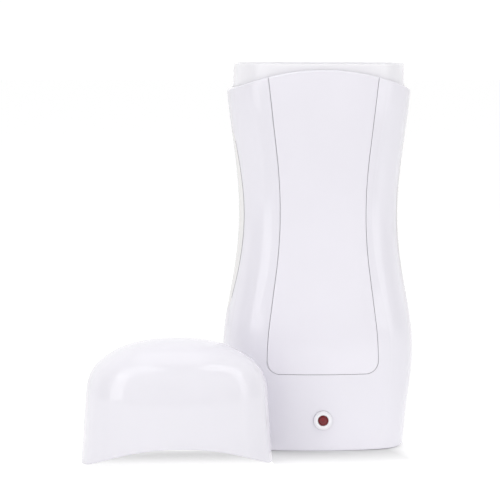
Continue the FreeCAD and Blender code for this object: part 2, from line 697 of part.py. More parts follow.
# Front shell: panel recess, lamp hole, bosses with pilot holes.
front = tube.cut(behind_seam(-dims.seam_gap / 2))
pad_block = panel_outline(-dims.panel_pad_margin)
pad = mid_wall.cut(hull(dims.shell_wall + dims.panel_pad)).common(pad_block)
pad = pad.common(slab(dims.panel_bottom - dims.panel_pad_margin, shelf_top - dims.shelf_thickness))
front = front.fuse(pad)
front_additions = cover_posts(-1)
for x, z in boss_places:
    reach = Vector(x, -FAR, z)
    boss = rod(dims.boss_radius, reach, Vector(x, dims.boss_meet, z)).common(mid_wall)
    front_additions.append(boss)
for across in (-1, 1):
    x = across * dims.board_post_half_spacing
    post = rod(dims.board_post_radius, Vector(x, -FAR, dims.board_post_height),
               Vector(x, dims.board_front, dims.board_post_height))
    front_additions.append(post.common(mid_wall))
front = front.fuse(front_additions)
recess = hull(0).cut(hull(dims.panel_thickness + dims.panel_glue)).common(panel_outline(0))
front_cuts = [recess] + cover_pilots(-1)
pilot = dims.screw_radius + dims.screw_bite
pilot_end = dims.boss_meet + dims.screw_seat - dims.screw_length - dims.screw_spare
for x, z in boss_places:
    front_cuts.append(rod(pilot, Vector(x, dims.boss_meet, z), Vector(x, pilot_end, z)))
board_pilot = dims.board_screw_radius + dims.screw_bite
for across in (-1, 1):
    mouth = Vector(across * dims.board_post_half_spacing, dims.board_front, dims.board_post_height)
    front_cuts.append(rod(board_pilot, mouth, mouth + FORWARD * dims.board_screw_length))
peg_places = corners_of(dims.peg_half_spacing, dims.peg_low, dims.peg_high)
for x, z in peg_places:
    hole = dims.peg_radius + dims.peg_clearance
    front_cuts.append(rod(hole, Vector(x, -FAR, z), Vector(x, dims.board_front, z)))
lamp_axis = Vector(0, -FAR, dims.lamp_height)
lamp_inside = Vector(0, dims.lens_back, dims.lamp_height)
front_cuts.append(rod(dims.bezel_sleeve_radius + dims.bezel_play, lamp_axis, lamp_inside))
front_cuts.append(rod(dims.bezel_radius + dims.bezel_play, lamp_axis,
                      Vector(0, dims.bezel_seat, dims.lamp_height)))
front = front.cut(front_cuts)
add_feature("front_shell", front)

# Rear shell: inlet opening with its flat seat, bosses with counterbores.
rear = tube.common(behind_seam(dims.seam_gap / 2))
rear_additions = cover_posts(1)
for x, z in boss_places:
    boss = rod(dims.boss_radius, Vector(x, dims.boss_meet, z), Vector(x, FAR, z))
    rear_additions.append(boss.common(mid_wall))
flange_half_width = dims.inlet_half_width + dims.inlet_flange_margin
flange_half_height = dims.inlet_half_height + dims.inlet_flange_margin
seat = block(Vector(-flange_half_width, dims.inlet_seat, dims.inlet_height - flange_half_height),
             Vector(flange_half_width, FAR, dims.inlet_height + flange_half_height))
rear_additions.append(seat.common(mid_wall))
rear = rear.fuse(rear_additions)


def inlet_prism(grow, start, end):
    """The inlet's rounded outline, enlarged by grow, from one depth to another."""
    prism = rounded_prism(dims.inlet_half_width + grow, dims.inlet_half_height + grow,
                          dims.inlet_corner + grow, 0, 0, end - start)
    prism.rotate(Vector(), Vector(1, 0, 0), -90)
    prism.translate(Vector(0, start, dims.inlet_height))
    return prism


rear_cuts = [inlet_prism(dims.inlet_play, 0, FAR)] + cover_pilots(1)
head_seat = dims.boss_meet + dims.screw_seat
for x, z in boss_places:
    through = dims.screw_radius + dims.screw_pass
    counterbore = dims.screw_head_radius + dims.counterbore_play
    rear_cuts.append(rod(through, Vector(x, dims.boss_meet, z), Vector(x, FAR, z)))
    rear_cuts.append(rod(counterbore, Vector(x, head_seat, z), Vector(x, FAR, z)))
rear = rear.cut(rear_cuts)
add_feature("rear_shell", rear)

# ---------------------------------------------------------------- front panel

panel = outer_form.cut(hull(dims.panel_thickness)).common(panel_outline(dims.panel_gap))
pegs = []
for x, z in peg_places:
    peg = rod(dims.peg_radius, Vector(x, -FAR, z), Vector(x, dims.board_front, z))
    pegs.append(peg.common(hull(dims.panel_thickness / 2)).cut(
        hull(dims.shell_wall + dims.panel_pad + dims.peg_proud)))
panel = panel.fuse(pegs)
add_feature("front_panel", panel)

# ---------------------------------------------------------------- well liner

collar_inset = dims.shell_wall + dims.liner_clearance
collar_low = COLLAR_FLOOR - dims.collar_wall


def collar_taper(inset):
    """The collar's draft: widest below, and its own half width and depth at the upper edge."""
    spread = dims.collar_draft * (COLLAR_TOP - collar_low)
    lower = oval(dims.collar_top_half_width + spread, dims.collar_top_half_depth + spread,
                 collar_low, inset)
    upper = oval(dims.collar_top_half_width, dims.collar_top_half_depth, COLLAR_TOP, inset)
    return Part.makeLoft([lower, upper], True, True)


collar = collar_taper(0).common(hull(collar_inset)).common(slab(COLLAR_FLOOR, FAR))
top_edges = [edge for edge in collar.Edges if edge.BoundBox.ZMin > COLLAR_TOP - 1e-3]
collar = collar.makeFillet(dims.collar_edge, top_edges)
mouth = collar_taper(dims.collar_wall).common(hull(collar_inset + dims.collar_wall))
mouth = mouth.common(slab(COLLAR_FLOOR + dims.collar_wall, FAR))
bead = hull(collar_inset - dims.bead_reach).cut(hull(collar_inset + dims.collar_wall / 2))
bead = bead.common(slab(BEAD_HEIGHT, BEAD_HEIGHT + dims.bead_thickness))
cup = rounded_prism(dims.cup_half_width + dims.cup_wall, dims.cup_half_depth + dims.cup_wall,
                    dims.cup_round + dims.cup_wall, dims.cup_shift,
                    dims.cup_floor - dims.cup_wall, COLLAR_FLOOR + dims.collar_wall)
cavity = rounded_prism(dims.cup_half_width, dims.cup_half_depth, dims.cup_round, dims.cup_shift,
                       dims.cup_floor, COLLAR_FLOOR + 2 * dims.collar_wall)
cup_back = dims.cup_shift + dims.cup_half_depth
cup_rear = cup_back + dims.cup_wall
plate_bottom = dims.cup_floor + dims.plate_rise
plate_top = plate_bottom + dims.plate_height
flange_bottom = plate_bottom - dims.flange_margin
flange_top = plate_top + dims.flange_margin
window = block(Vector(-dims.plate_half_width - dims.window_play, cup_back - dims.cup_wall,
                      plate_bottom - dims.window_play),
               Vector(dims.plate_half_width + dims.window_play, cup_rear + dims.cup_wall,
                      plate_top + dims.window_play))
stakes = []
for x, z in corners_of(dims.stake_half_spacing, flange_bottom + dims.stake_inset,
                       flange_top - dims.stake_inset):
    stakes.append(rod(dims.stake_radius, Vector(x, cup_rear - dims.cup_wall / 2, z),
                      Vector(x, cup_rear + dims.flange_thickness + dims.stake_proud, z)))
guide_ribs = []
for across in (-1, 1):
    middle = across * dims.guide_rib_half_spacing
    front_wall = dims.cup_shift - dims.cup_half_depth
    guide_ribs.append(block(
        Vector(middle - dims.guide_rib_width / 2, front_wall - dims.cup_wall / 2,
               dims.cup_floor - dims.cup_wall / 2),
        Vector(middle + dims.guide_rib_width / 2, front_wall + dims.guide_rib_reach,
               COLLAR_FLOOR - dims.guide_rib_drop)))
liner = collar.fuse([bead, cup]).cut([mouth, cavity]).fuse(guide_ribs).cut(window).fuse(stakes)
add_feature("well_liner", liner)

# ---------------------------------------------------------------- base cover and foot ring


def base_outline(inset, bottom, top):
    wire = oval(dims.foot_half_width, dims.foot_half_depth, bottom, inset)
    return Part.Face(wire).extrude(UP * (top - bottom))


cover = base_outline(dims.shell_wall + dims.cover_clearance, cover_bottom, cover_top)
cover_cuts = []
cover_screw_places = [(x * dims.post_half_spacing, y * dims.post_half_depth)
                      for x in (-1, 1) for y in (-1, 1)]
for x, y in cover_screw_places:
    foot = Vector(x, y, cover_bottom)
    cover_cuts.append(rod(dims.screw_radius + dims.screw_pass, foot, foot + UP * dims.cover_thickness))
    cover_cuts.append(rod(dims.screw_head_radius + dims.counterbore_play, foot,
                          foot + UP * dims.screw_head_height))
cover = cover.cut(cover_cuts)
add_feature("base_cover", cover)

ring = base_outline(dims.foot_inset, 0, dims.foot_thickness)
ring = ring.cut(base_outline(dims.foot_inset + dims.foot_width, 0, dims.foot_thickness))
add_feature("foot_ring", ring)

# ---------------------------------------------------------------- cap


def smooth_ring(wire):
    """One closed curve through places spread along the arcs of a wire."""
    places = []
    for arc in wire.OrderedEdges:
        places += arc.discretize(PLACES_ON_ARC)[:-1]
    ring = Part.BSplineCurve()
    ring.interpolate(places, PeriodicFlag=True)
    return Part.Wire(ring.toShape())


def dome(inset):
    """The cap's solid form: a tapering skirt and a full crown, moved inward by inset."""
    lean = (dims.cap_half_width - dims.cap_skirt_half_width) / dims.cap_skirt
    deep_lean = (dims.cap_half_depth - dims.cap_skirt_half_depth) / dims.cap_skirt
    sections = []
    for share in (-0.25, 0, 0.25, 0.5, 0.75):
        height = dims.cap_skirt * share
        outline = oval(dims.cap_half_width - lean * height,
                       dims.cap_half_depth - deep_lean * height, height, inset)
        sections.append(smooth_ring(outline))
    shoulder = smooth_ring(oval(dims.cap_skirt_half_width, dims.cap_skirt_half_depth, 0, inset))
    crown = dims.cap_crown - inset
    for degrees in (0, 20, 38, 54, 67, 79):
        angle = math.radians(degrees)
        section = shoulder.copy()
        section.scale(math.cos(angle) ** (2 / dims.cap_fullness), Vector())
        section.translate(UP * (dims.cap_skirt + crown * math.sin(angle) ** (2 / dims.cap_fullness)))
        sections.append(section)
    sections.append(Part.Vertex(0, 0, dims.cap_skirt + crown))
    return Part.makeLoft(sections, True, False)


cap_arch = rim_sagitta(dims.cap_half_width)
hollow = dome(dims.cap_wall)
cap = dome(0).cut(arch_cylinder(cap_arch)).cut(hollow)
outer_rim = []
for edge in cap.Edges:
    middle = Part.Vertex(edge.valueAt((edge.FirstParameter + edge.LastParameter) / 2))
    outside = middle.distToShape(hollow)[0] > dims.cap_wall / 2
    if outside and edge.BoundBox.ZMax < cap_arch + dims.cap_round:
        outer_rim.append(edge)
cap = cap.makeFillet(dims.cap_round, outer_rim)
cap_place = Placement(Vector(dims.cap_side, dims.cap_front, 0), Rotation(UP, dims.cap_turn))
add_feature("cap", cap, cap_place)

# ---------------------------------------------------------------- pilot lamp

lamp_at = ("0", "0", "Dims.lamp_height")
flange_front = "(-Dims.bezel_seat + Dims.bezel_flange)"

bezel = add_body("indicator_bezel", FORWARD, lamp_at)
profile = add_sketch(bezel, "bezel_profile", "XZ_Plane")
bore = "(Dims.lens_radius + Dims.bezel_play)"
draw_outline(profile, [
    (bore, "-Dims.bezel_seat - Dims.bezel_length"),
    ("Dims.bezel_sleeve_radius", "-Dims.bezel_seat - Dims.bezel_length"),
    ("Dims.bezel_sleeve_radius", "-Dims.bezel_seat"),
    ("Dims.bezel_radius", "-Dims.bezel_seat"),
    ("Dims.bezel_radius", flange_front),
    (bore, flange_front),
])
round_front(bezel, add_revolution(bezel, profile), "Dims.bezel_round")

lens = add_body("indicator_lens", FORWARD, lamp_at)
profile = add_sketch(lens, "lens_profile", "XZ_Plane")
collar_front = "-Dims.bezel_seat - Dims.bezel_length - Dims.bezel_play"
dome_edge = f"({flange_front} + Dims.lens_proud - Dims.lens_dome)"
dome_drop = "(Dims.lens_radius ^ 2 - Dims.lens_dome ^ 2) / (2 * Dims.lens_dome)"
draw_domed_profile(profile, [
    ("0", "-Dims.lens_back"),
    ("Dims.lens_collar_radius", "-Dims.lens_back"),
    ("Dims.lens_collar_radius", collar_front),
    ("Dims.lens_radius", collar_front),
    ("Dims.lens_radius", dome_edge),
], f"{dome_edge} - {dome_drop}")
add_revolution(lens, profile)

led = add_body("indicator_lamp", FORWARD, ("0", "Dims.board_front", "Dims.lamp_height"))
profile = add_sketch(led, "lamp_profile", "XZ_Plane")
draw_domed_profile(profile, [
    ("0", "0"),
    ("Dims.led_rim_radius", "0"),
    ("Dims.led_rim_radius", "Dims.led_rim_height"),
    ("Dims.led_radius", "Dims.led_rim_height"),
    ("Dims.led_radius", "Dims.led_length - Dims.led_radius"),
], "Dims.led_length - Dims.led_radius")
add_revolution(led, profile)
legs = add_sketch(led, "lamp_legs", "XY_Plane")
for side in ("-", ""):
    draw_circle(legs, "Dims.led_leg_radius", f"{side}Dims.led_leg_spacing / 2", "0")
add_pad(led, legs, "Dims.board_thickness + Dims.leg_proud", "legs", reverse=True)

board = add_body("control_board")
outline = add_sketch(board, "board_outline", "XZ_Plane", "-Dims.board_front")
draw_rectangle(outline, "-Dims.board_width / 2", "Dims.board_bottom",
               "Dims.board_width / 2", "Dims.board_top")
add_pad(board, outline, "Dims.board_thickness", "laminate", reverse=True)
holes = add_sketch(board, "board_holes", "XZ_Plane", "-Dims.board_front")
for side in ("-", ""):
    draw_circle(holes, "Dims.board_screw_radius + Dims.screw_pass",
                f"{side}Dims.board_post_half_spacing", "Dims.board_post_height")
    draw_circle(holes, "Dims.led_leg_radius + Dims.leg_play", f"{side}Dims.led_leg_spacing / 2",
                "Dims.lamp_height")
    for part_height in ("Dims.resistor_height", "Dims.diode_height"):
        draw_circle(holes, "Dims.part_leg_radius + Dims.leg_play", f"{side}Dims.part_span / 2", part_height)
add_pocket(board, holes, "Dims.board_thickness", "drilled")

board_rear = dims.board_front + dims.board_thickness


def axial_part(height):
    """A small round component on the board's back with two bent legs."""
    axis_y = board_rear + dims.part_radius
    body = rod(dims.part_radius, Vector(-dims.part_length / 2, axis_y, height),
               Vector(dims.part_length / 2, axis_y, height))
    for side in (-1, 1):
        bend = Vector(side * dims.part_span / 2, axis_y, height)
        body = body.fuse(rod(dims.part_leg_radius, Vector(0, axis_y, height), bend))
        body = body.fuse(Part.makeSphere(dims.part_leg_radius, bend))
        body = body.fuse(rod(dims.part_leg_radius, bend,
                             Vector(bend.x, dims.board_front - dims.leg_proud, height)))
    return body


add_feature("lamp_resistor", axial_part(dims.resistor_height))
add_feature("lamp_diode", axial_part(dims.diode_height))

# ---------------------------------------------------------------- heater

plate = add_body("heater_plate")
flange_rear_offset = "-(Dims.cup_shift + Dims.cup_half_depth + Dims.cup_wall)"
flange = add_sketch(plate, "flange_outline", "XZ_Plane", flange_rear_offset)
pad_low = "(Dims.cup_floor + Dims.plate_rise)"
pad_high = f"({pad_low} + Dims.plate_height)"
low = f"({pad_low} - Dims.flange_margin)"
high = f"({pad_high} + Dims.flange_margin)"
cutout_axis = f"({low} - Dims.cutout_drop)"
draw_outline(flange, [
    ("-Dims.tab_half_width", f"{cutout_axis} - Dims.tab_reach"),
    ("Dims.tab_half_width", f"{cutout_axis} - Dims.tab_reach"),
    ("Dims.tab_half_width", low),
    ("Dims.flange_half_width", low),
    ("Dims.flange_half_width", high),
    ("-Dims.flange_half_width", high),
    ("-Dims.flange_half_width", low),
    ("-Dims.tab_half_width", low),
])
add_pad(plate, flange, "Dims.flange_thickness", "flange", reverse=True)
face = add_sketch(plate, "pad_outline", "XZ_Plane", flange_rear_offset)
draw_rectangle(face, "-Dims.plate_half_width", pad_low, "Dims.plate_half_width", pad_high)
add_pad(plate, face, "Dims.cup_wall", "pad")
plate_holes = add_sketch(plate, "plate_holes", "XZ_Plane",
                         f"{flange_rear_offset} - Dims.flange_thickness")
for side in ("-", ""):
    for hole_height in (f"{low} + Dims.stake_inset", f"{high} - Dims.stake_inset"):
        draw_circle(plate_holes, "Dims.stake_radius + Dims.leg_play", f"{side}Dims.stake_half_spacing",
                    hole_height)
    draw_circle(plate_holes, "Dims.clamp_screw_radius + Dims.screw_bite",
                f"Dims.thermostat_side {side or '+'} Dims.ear_hole_half_spacing", cutout_axis)
stack_middle = f"({pad_low} + Dims.plate_height / 2)"
half_stack = "(Dims.stone_gap / 2 + Dims.stone_height + Dims.film_margin)"
stack_low = f"({stack_middle} - {half_stack})"
stack_high = f"({stack_middle} + {half_stack})"
clamp_low = f"{stack_low} - Dims.clamp_foot / 2 - Dims.clamp_thickness"
clamp_high = f"{stack_high} + Dims.clamp_foot / 2 + Dims.clamp_thickness"
for hole_height in (clamp_low, clamp_high):
    draw_circle(plate_holes, "Dims.clamp_screw_radius + Dims.screw_bite", "0", hole_height)
add_pocket(plate, plate_holes, "Dims.plate_hole", "drilled", reverse=True)

plate_rear = cup_rear + dims.flange_thickness
heater_middle = (plate_bottom + plate_top) / 2
stone_low = heater_middle - dims.stone_gap / 2 - dims.stone_height
stone_high = heater_middle + dims.stone_gap / 2 + dims.stone_height
film_low = stone_low - dims.film_margin
film_high = stone_high + dims.film_margin
film_half = dims.stone_half_width + dims.film_margin
films = []
for start in (plate_rear, plate_rear + dims.film_thickness + dims.stone_thickness):
    films.append(block(Vector(-film_half, start, film_low),
                       Vector(film_half, start + dims.film_thickness, film_high)))
add_feature("insulating_films", Part.makeCompound(films))

stones = []
stone_front = plate_rear + dims.film_thickness
for bottom in (stone_low, stone_high - dims.stone_height):
    stones.append(block(Vector(-dims.stone_half_width, stone_front, bottom),
                        Vector(dims.stone_half_width, stone_front + dims.stone_thickness,
                               bottom + dims.stone_height)))
add_feature("ptc_stones", Part.makeCompound(stones))

clamp = add_body("heater_clamp")
strip = add_sketch(clamp, "clamp_profile", "YZ_Plane", "-Dims.clamp_half_width")
foot_y = "(Dims.cup_shift + Dims.cup_half_depth + Dims.cup_wall + Dims.flange_thickness)"
back_y = f"({foot_y} + 2 * Dims.film_thickness + Dims.stone_thickness)"
sheet_t = "Dims.clamp_thickness"
draw_outline(strip, [
    (foot_y, f"{stack_low} - {sheet_t} - Dims.clamp_foot"),
    (foot_y, f"{stack_low}"),
    (back_y, f"{stack_low}"),
    (back_y, f"{stack_high}"),
    (foot_y, f"{stack_high}"),
    (foot_y, f"{stack_high} + {sheet_t} + Dims.clamp_foot"),
    (f"{foot_y} + {sheet_t}", f"{stack_high} + {sheet_t} + Dims.clamp_foot"),
    (f"{foot_y} + {sheet_t}", f"{stack_high} + {sheet_t}"),
    (f"{back_y} + {sheet_t}", f"{stack_high} + {sheet_t}"),
    (f"{back_y} + {sheet_t}", f"{stack_low} - {sheet_t}"),
    (f"{foot_y} + {sheet_t}", f"{stack_low} - {sheet_t}"),
    (f"{foot_y} + {sheet_t}", f"{stack_low} - {sheet_t} - Dims.clamp_foot"),
])
add_pad(clamp, strip, "2 * Dims.clamp_half_width", "strip")
clamp_holes = add_sketch(clamp, "clamp_holes", "XZ_Plane", f"-({foot_y} + {sheet_t})")
for hole_height in (clamp_low, clamp_high):
    draw_circle(clamp_holes, "Dims.clamp_screw_radius + Dims.screw_bite", "0", hole_height)
add_pocket(clamp, clamp_holes, sheet_t, "punched", reverse=True)


# ---------------------------------------------------------------- screws

def screw(head_radius, head_height, shank_radius, length):
    """A pan-head screw along +Z with its head's underside at the origin and a cross recess."""
    head = Part.makeCylinder(head_radius, head_height, Vector(0, 0, 0), UP)
    rim = [edge for edge in head.Edges if edge.BoundBox.ZMin > head_height - 1e-6]
    head = head.makeFillet(head_height * dims.screw_rounding, rim)
    tip = shank_radius * dims.screw_tip
    shank = Part.makeCylinder(shank_radius, length - tip, Vector(0, 0, 0), UP.negative())
    point = Part.makeCone(shank_radius, shank_radius * dims.screw_tip_end, tip,
                          Vector(0, 0, tip - length), UP.negative())
    body = head.fuse([shank, point])
    share = head_radius / dims.screw_head_radius
    reach = dims.recess_length * share / 2
    slot = dims.recess_width * share / 2
    depth = dims.recess_depth * share
    for across, deep in ((reach, slot), (slot, reach)):
        body = body.cut(block(Vector(-across, -deep, head_height - depth),
                              Vector(across, deep, head_height + depth)))
    return body


def placed(shape, at, axis):
    copy = shape.copy()
    copy.Placement = Placement(at, Rotation(UP, axis))
    return copy


casing_screw = screw(dims.screw_head_radius, dims.screw_head_height, dims.screw_radius,
                     dims.screw_length)
add_feature("casing_screws", Part.makeCompound(
    [placed(casing_screw, Vector(x, head_seat, z), BACKWARD) for x, z in boss_places]))
cover_screw = screw(dims.screw_head_radius, dims.screw_head_height, dims.screw_radius,
                    dims.cover_screw_length)
cover_seat = cover_bottom + dims.screw_head_height
add_feature("cover_screws", Part.makeCompound(
    [placed(cover_screw, Vector(x, y, cover_seat), UP.negative()) for x, y in cover_screw_places]))
board_screw = screw(dims.board_screw_head_radius, dims.board_screw_head_height,
                    dims.board_screw_radius, dims.board_screw_length)
add_feature("board_screws", Part.makeCompound(
    [placed(board_screw, Vector(side * dims.board_post_half_spacing, board_rear,
                                dims.board_post_height), BACKWARD) for side in (-1, 1)]))
clamp_screw = screw(dims.clamp_screw_head_radius, dims.clamp_screw_head_height,
                    dims.clamp_screw_radius, dims.clamp_screw_length)
clamp_reach = dims.clamp_foot / 2 + dims.clamp_thickness
add_feature("clamp_screws", Part.makeCompound(
    [placed(clamp_screw, Vector(0, plate_rear + dims.clamp_thickness, z), BACKWARD)
     for z in (film_low - clamp_reach, film_high + clamp_reach)]))

# ---------------------------------------------------------------- thermostat and thermal fuse

tab_face = cup_rear
cutout_height = flange_bottom - dims.cutout_drop
tab_bottom = cutout_height - dims.tab_reach
thermostat_axis = Vector(dims.thermostat_side, tab_face, cutout_height)
thermostat = rod(dims.thermostat_radius, thermostat_axis,
                 thermostat_axis + FORWARD * dims.thermostat_cup)
thermostat = thermostat.fuse(rod(dims.thermostat_body_radius, thermostat_axis,
                                 thermostat_axis + FORWARD * dims.thermostat_length))
ears = block(thermostat_axis + Vector(-dims.ear_half_length, -dims.ear_thickness, -dims.ear_half_width),
             thermostat_axis + Vector(dims.ear_half_length, 0, dims.ear_half_width))
thermostat = thermostat.fuse(ears)
ear_holes = []
terminals = []
for side in (-1, 1):
    hole = thermostat_axis + Vector(side * dims.ear_hole_half_spacing, 0, 0)
    ear_holes.append(rod(dims.clamp_screw_radius + dims.screw_bite, hole,
                         hole + FORWARD * dims.thermostat_length))
    middle = thermostat_axis + Vector(side * dims.terminal_half_spacing, -dims.thermostat_length, 0)
    terminals.append(block(
        middle + Vector(-dims.terminal_thickness / 2, -dims.terminal_length, -dims.terminal_half_width),
        middle + Vector(dims.terminal_thickness / 2, dims.terminal_thickness,
                        dims.terminal_half_width)))
thermostat = thermostat.cut(ear_holes).fuse(terminals)
add_feature("thermostat", thermostat)
ear_screw = screw(dims.clamp_screw_head_radius, dims.clamp_screw_head_height,
                  dims.clamp_screw_radius, dims.ear_screw_length)
add_feature("thermostat_screws", Part.makeCompound(
    [placed(ear_screw, thermostat_axis + Vector(side * dims.ear_hole_half_spacing,
                                                -dims.ear_thickness, 0), FORWARD)
     for side in (-1, 1)]))

fuse_middle = Vector(dims.fuse_side, tab_face - dims.fuse_radius, cutout_height - dims.fuse_drop)
fuse_end = UP * (dims.fuse_length / 2)
fuse_lead = UP * (dims.fuse_length / 2 + dims.fuse_lead_length)
fuse = rod(dims.fuse_radius, fuse_middle - fuse_end, fuse_middle + fuse_end)
fuse = fuse.fuse(rod(dims.fuse_lead_radius, fuse_middle - fuse_lead, fuse_middle + fuse_lead))
add_feature("thermal_fuse", fuse)
clip_rise = UP * dims.clip_half_height
clip_outer = dims.fuse_radius + dims.clip_thickness
clip_half = clip_outer + dims.clip_foot
clip = rod(clip_outer, fuse_middle - clip_rise, fuse_middle + clip_rise)
clip = clip.fuse(block(fuse_middle + Vector(-clip_outer, 0, 0) - clip_rise,
                       fuse_middle + Vector(clip_outer, dims.fuse_radius, 0) + clip_rise))
clip = clip.fuse(block(
    fuse_middle + Vector(-clip_half, dims.fuse_radius - dims.clip_thickness, 0) - clip_rise,
    fuse_middle + Vector(clip_half, dims.fuse_radius, 0) + clip_rise))
clip = clip.cut(rod(dims.fuse_radius, fuse_middle - fuse_end, fuse_middle + fuse_end))
clip = clip.cut(block(fuse_middle + Vector(-dims.fuse_radius, 0, 0) - fuse_end,
                      fuse_middle + Vector(dims.fuse_radius, dims.fuse_radius, 0) + fuse_end))
clip = clip.common(block(Vector(-FAR, -FAR, 0), Vector(FAR, tab_face, FAR)))
add_feature("fuse_clip", clip)

# ---------------------------------------------------------------- mains inlet

socket = inlet_prism(0, dims.inlet_rear, dims.inlet_face)
seat_flange = block(
    Vector(-flange_half_width, dims.inlet_seat - dims.inlet_flange,
           dims.inlet_height - flange_half_height),
    Vector(flange_half_width, dims.inlet_seat, dims.inlet_height + flange_half_height))
socket = socket.fuse(seat_flange)
cavity_floor = dims.inlet_face - dims.cavity_depth
cavity_cuts = [block(
    Vector(-dims.pin_half_spacing, cavity_floor, dims.inlet_height - dims.cavity_bridge),
    Vector(dims.pin_half_spacing, dims.inlet_face, dims.inlet_height + dims.cavity_bridge))]
pins = []
for side in (-1, 1):
    floor = Vector(side * dims.pin_half_spacing, cavity_floor, dims.inlet_height)
    cavity_cuts.append(rod(dims.cavity_radius, floor, floor + BACKWARD * dims.cavity_depth))
    tail = Vector(floor.x, dims.inlet_rear - dims.pin_tail, floor.z)
    cavity_cuts.append(rod(dims.pin_tail_radius, tail, floor))
    tip = floor + BACKWARD * (dims.cavity_depth - dims.pin_short)
    pin = rod(dims.pin_radius, floor, tip)
    nose = [edge for edge in pin.Edges if edge.BoundBox.YMin > tip.y - 1e-6]
    pin = pin.makeFillet(dims.pin_nose, nose)
    pins.append(pin.fuse(rod(dims.pin_tail_radius, tail, floor)))
socket = socket.cut(cavity_cuts)
add_feature("inlet_socket", socket)
add_feature("inlet_pins", Part.makeCompound(pins))

# ---------------------------------------------------------------- leads inside the housing


def lead(points):
    """An insulated lead: straight runs joined by tangent arcs."""
    radii = []
    edges = []
    start = points[0]
    for before, corner, after in zip(points, points[1:], points[2:]):
        arriving = corner - before
        leaving = after - corner
        turn = arriving.getAngle(leaving)
        setback = dims.lead_sweep * min(arriving.Length, leaving.Length)
        radius = setback / math.tan(turn / 2)
        radii.append(radius)
        enter = corner - Vector(arriving).normalize() * setback
        leave = corner + Vector(leaving).normalize() * setback
        inward = (enter + leave - corner * 2).normalize()
        nearest = corner + inward * (radius / math.cos(turn / 2) - radius)
        edges.append(Part.LineSegment(start, enter).toShape())
        edges.append(Part.Arc(enter, nearest, leave).toShape())
        start = leave
    edges.append(Part.LineSegment(start, points[-1]).toShape())
    path = Part.Wire(edges)
    heading = points[1] - points[0]
    section = Part.Wire(Part.Circle(points[0], heading, dims.lead_radius).toShape())
    solid = path.makePipeShell([section], True, True)
    exact = math.pi * dims.lead_radius ** 2 * path.Length
    print(f"lead: {path.Length:.1f} mm, tightest bend {min(radii):.1f} mm, "
          f"volume {solid.Volume / exact:.4f} of its section times its length")
    return solid


exit_run = dims.lead_exit
pin_x = dims.pin_half_spacing
pin_end = dims.inlet_rear - dims.pin_tail
terminal_y = thermostat_axis.y - dims.thermostat_length - dims.terminal_length
fuse_low = fuse_middle - fuse_lead
fuse_high = fuse_middle + fuse_lead
right_terminal = dims.thermostat_side + dims.terminal_half_spacing
left_terminal = dims.thermostat_side - dims.terminal_half_spacing
add_feature("live_lead", lead([
    Vector(-pin_x, pin_end, dims.inlet_height),
    Vector(-pin_x, pin_end - exit_run, dims.inlet_height),
    Vector(fuse_low.x, pin_end - exit_run + dims.lead_bow, dims.inlet_height + exit_run / 2),
    Vector(fuse_low.x, pin_end + exit_run / 2, dims.inlet_height + exit_run - dims.lead_bow),
    fuse_low - UP * (exit_run + dims.lead_bow),
    fuse_low,
]))
add_feature("neutral_lead", lead([
    Vector(pin_x, pin_end, dims.inlet_height),
    Vector(pin_x, pin_end - exit_run, dims.inlet_height),
    Vector(right_terminal + dims.lead_bow, (pin_end + terminal_y) / 2 - exit_run - dims.lead_bow,
           (dims.inlet_height + cutout_height) / 2),
    Vector(right_terminal, terminal_y - exit_run, cutout_height),
    Vector(right_terminal, terminal_y, cutout_height),
]))
landing_x = fuse_high.x + exit_run / 2
loop_z = fuse_high.z + dims.lead_loop
add_feature("fuse_lead", lead([
    fuse_high,
    Vector(fuse_high.x, fuse_high.y, loop_z),
    Vector(fuse_high.x, fuse_high.y - exit_run, loop_z),
    Vector(fuse_high.x, terminal_y - exit_run, cutout_height + dims.lead_loop),
    Vector(landing_x, board_rear + exit_run, tab_bottom),
    Vector(landing_x, board_rear + exit_run - dims.lead_bow, dims.lamp_height),
    Vector(landing_x, board_rear, dims.lamp_height),
]))
add_feature("thermostat_lead", lead([
    Vector(left_terminal, terminal_y, cutout_height),
    Vector(left_terminal, terminal_y - exit_run, cutout_height),
    Vector(left_terminal, board_rear + exit_run, tab_bottom),
    Vector(left_terminal, board_rear + exit_run - dims.lead_bow, dims.lamp_height),
    Vector(left_terminal, board_rear, dims.lamp_height),
]))
heater_leads = []
edge_room = 3 * dims.lead_radius
behind_plate = plate_rear + dims.lead_room
stone_middle = stone_front + dims.stone_thickness / 2
for side in (-1, 1):
    lead_x = side * dims.heater_lead_side
    heater_leads.append(lead([
        Vector(lead_x, board_rear, dims.board_top - edge_room),
        Vector(lead_x, board_rear + exit_run, dims.board_top - edge_room),
        Vector(lead_x, plate_rear - exit_run, tab_bottom - edge_room),
        Vector(lead_x, behind_plate, tab_bottom - edge_room),
        Vector(lead_x, behind_plate, tab_bottom + exit_run),
        Vector(lead_x, stone_middle, stone_low - 2 * exit_run),
        Vector(lead_x, stone_middle, stone_low),
    ]))
add_feature("heater_leads", Part.makeCompound(heater_leads))

# ---------------------------------------------------------------- checks and files

doc.recompute()
for item in doc.Objects:
    for word in ("Invalid", "Error"):
        if word in item.State:
            raise RuntimeError(f"{item.Label} is {word}")
os.makedirs("parts", exist_ok=True)
for node in nodes:
    if node.Shape.isNull() or not node.Shape.isValid():
        raise RuntimeError(f"{node.Label} has no valid shape")
for node in nodes:
    node.Shape.exportStep(f"parts/{node.Label}.step")
    box = node.Shape.BoundBox
    print(f"{node.Label}: {len(node.Shape.Solids)} solid(s), {node.Shape.Volume / 1000:.2f} cm3, "
          f"z {box.ZMin:.2f} to {box.ZMax:.2f}")
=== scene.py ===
import math

import bpy
from mathutils import Euler, Matrix, Vector


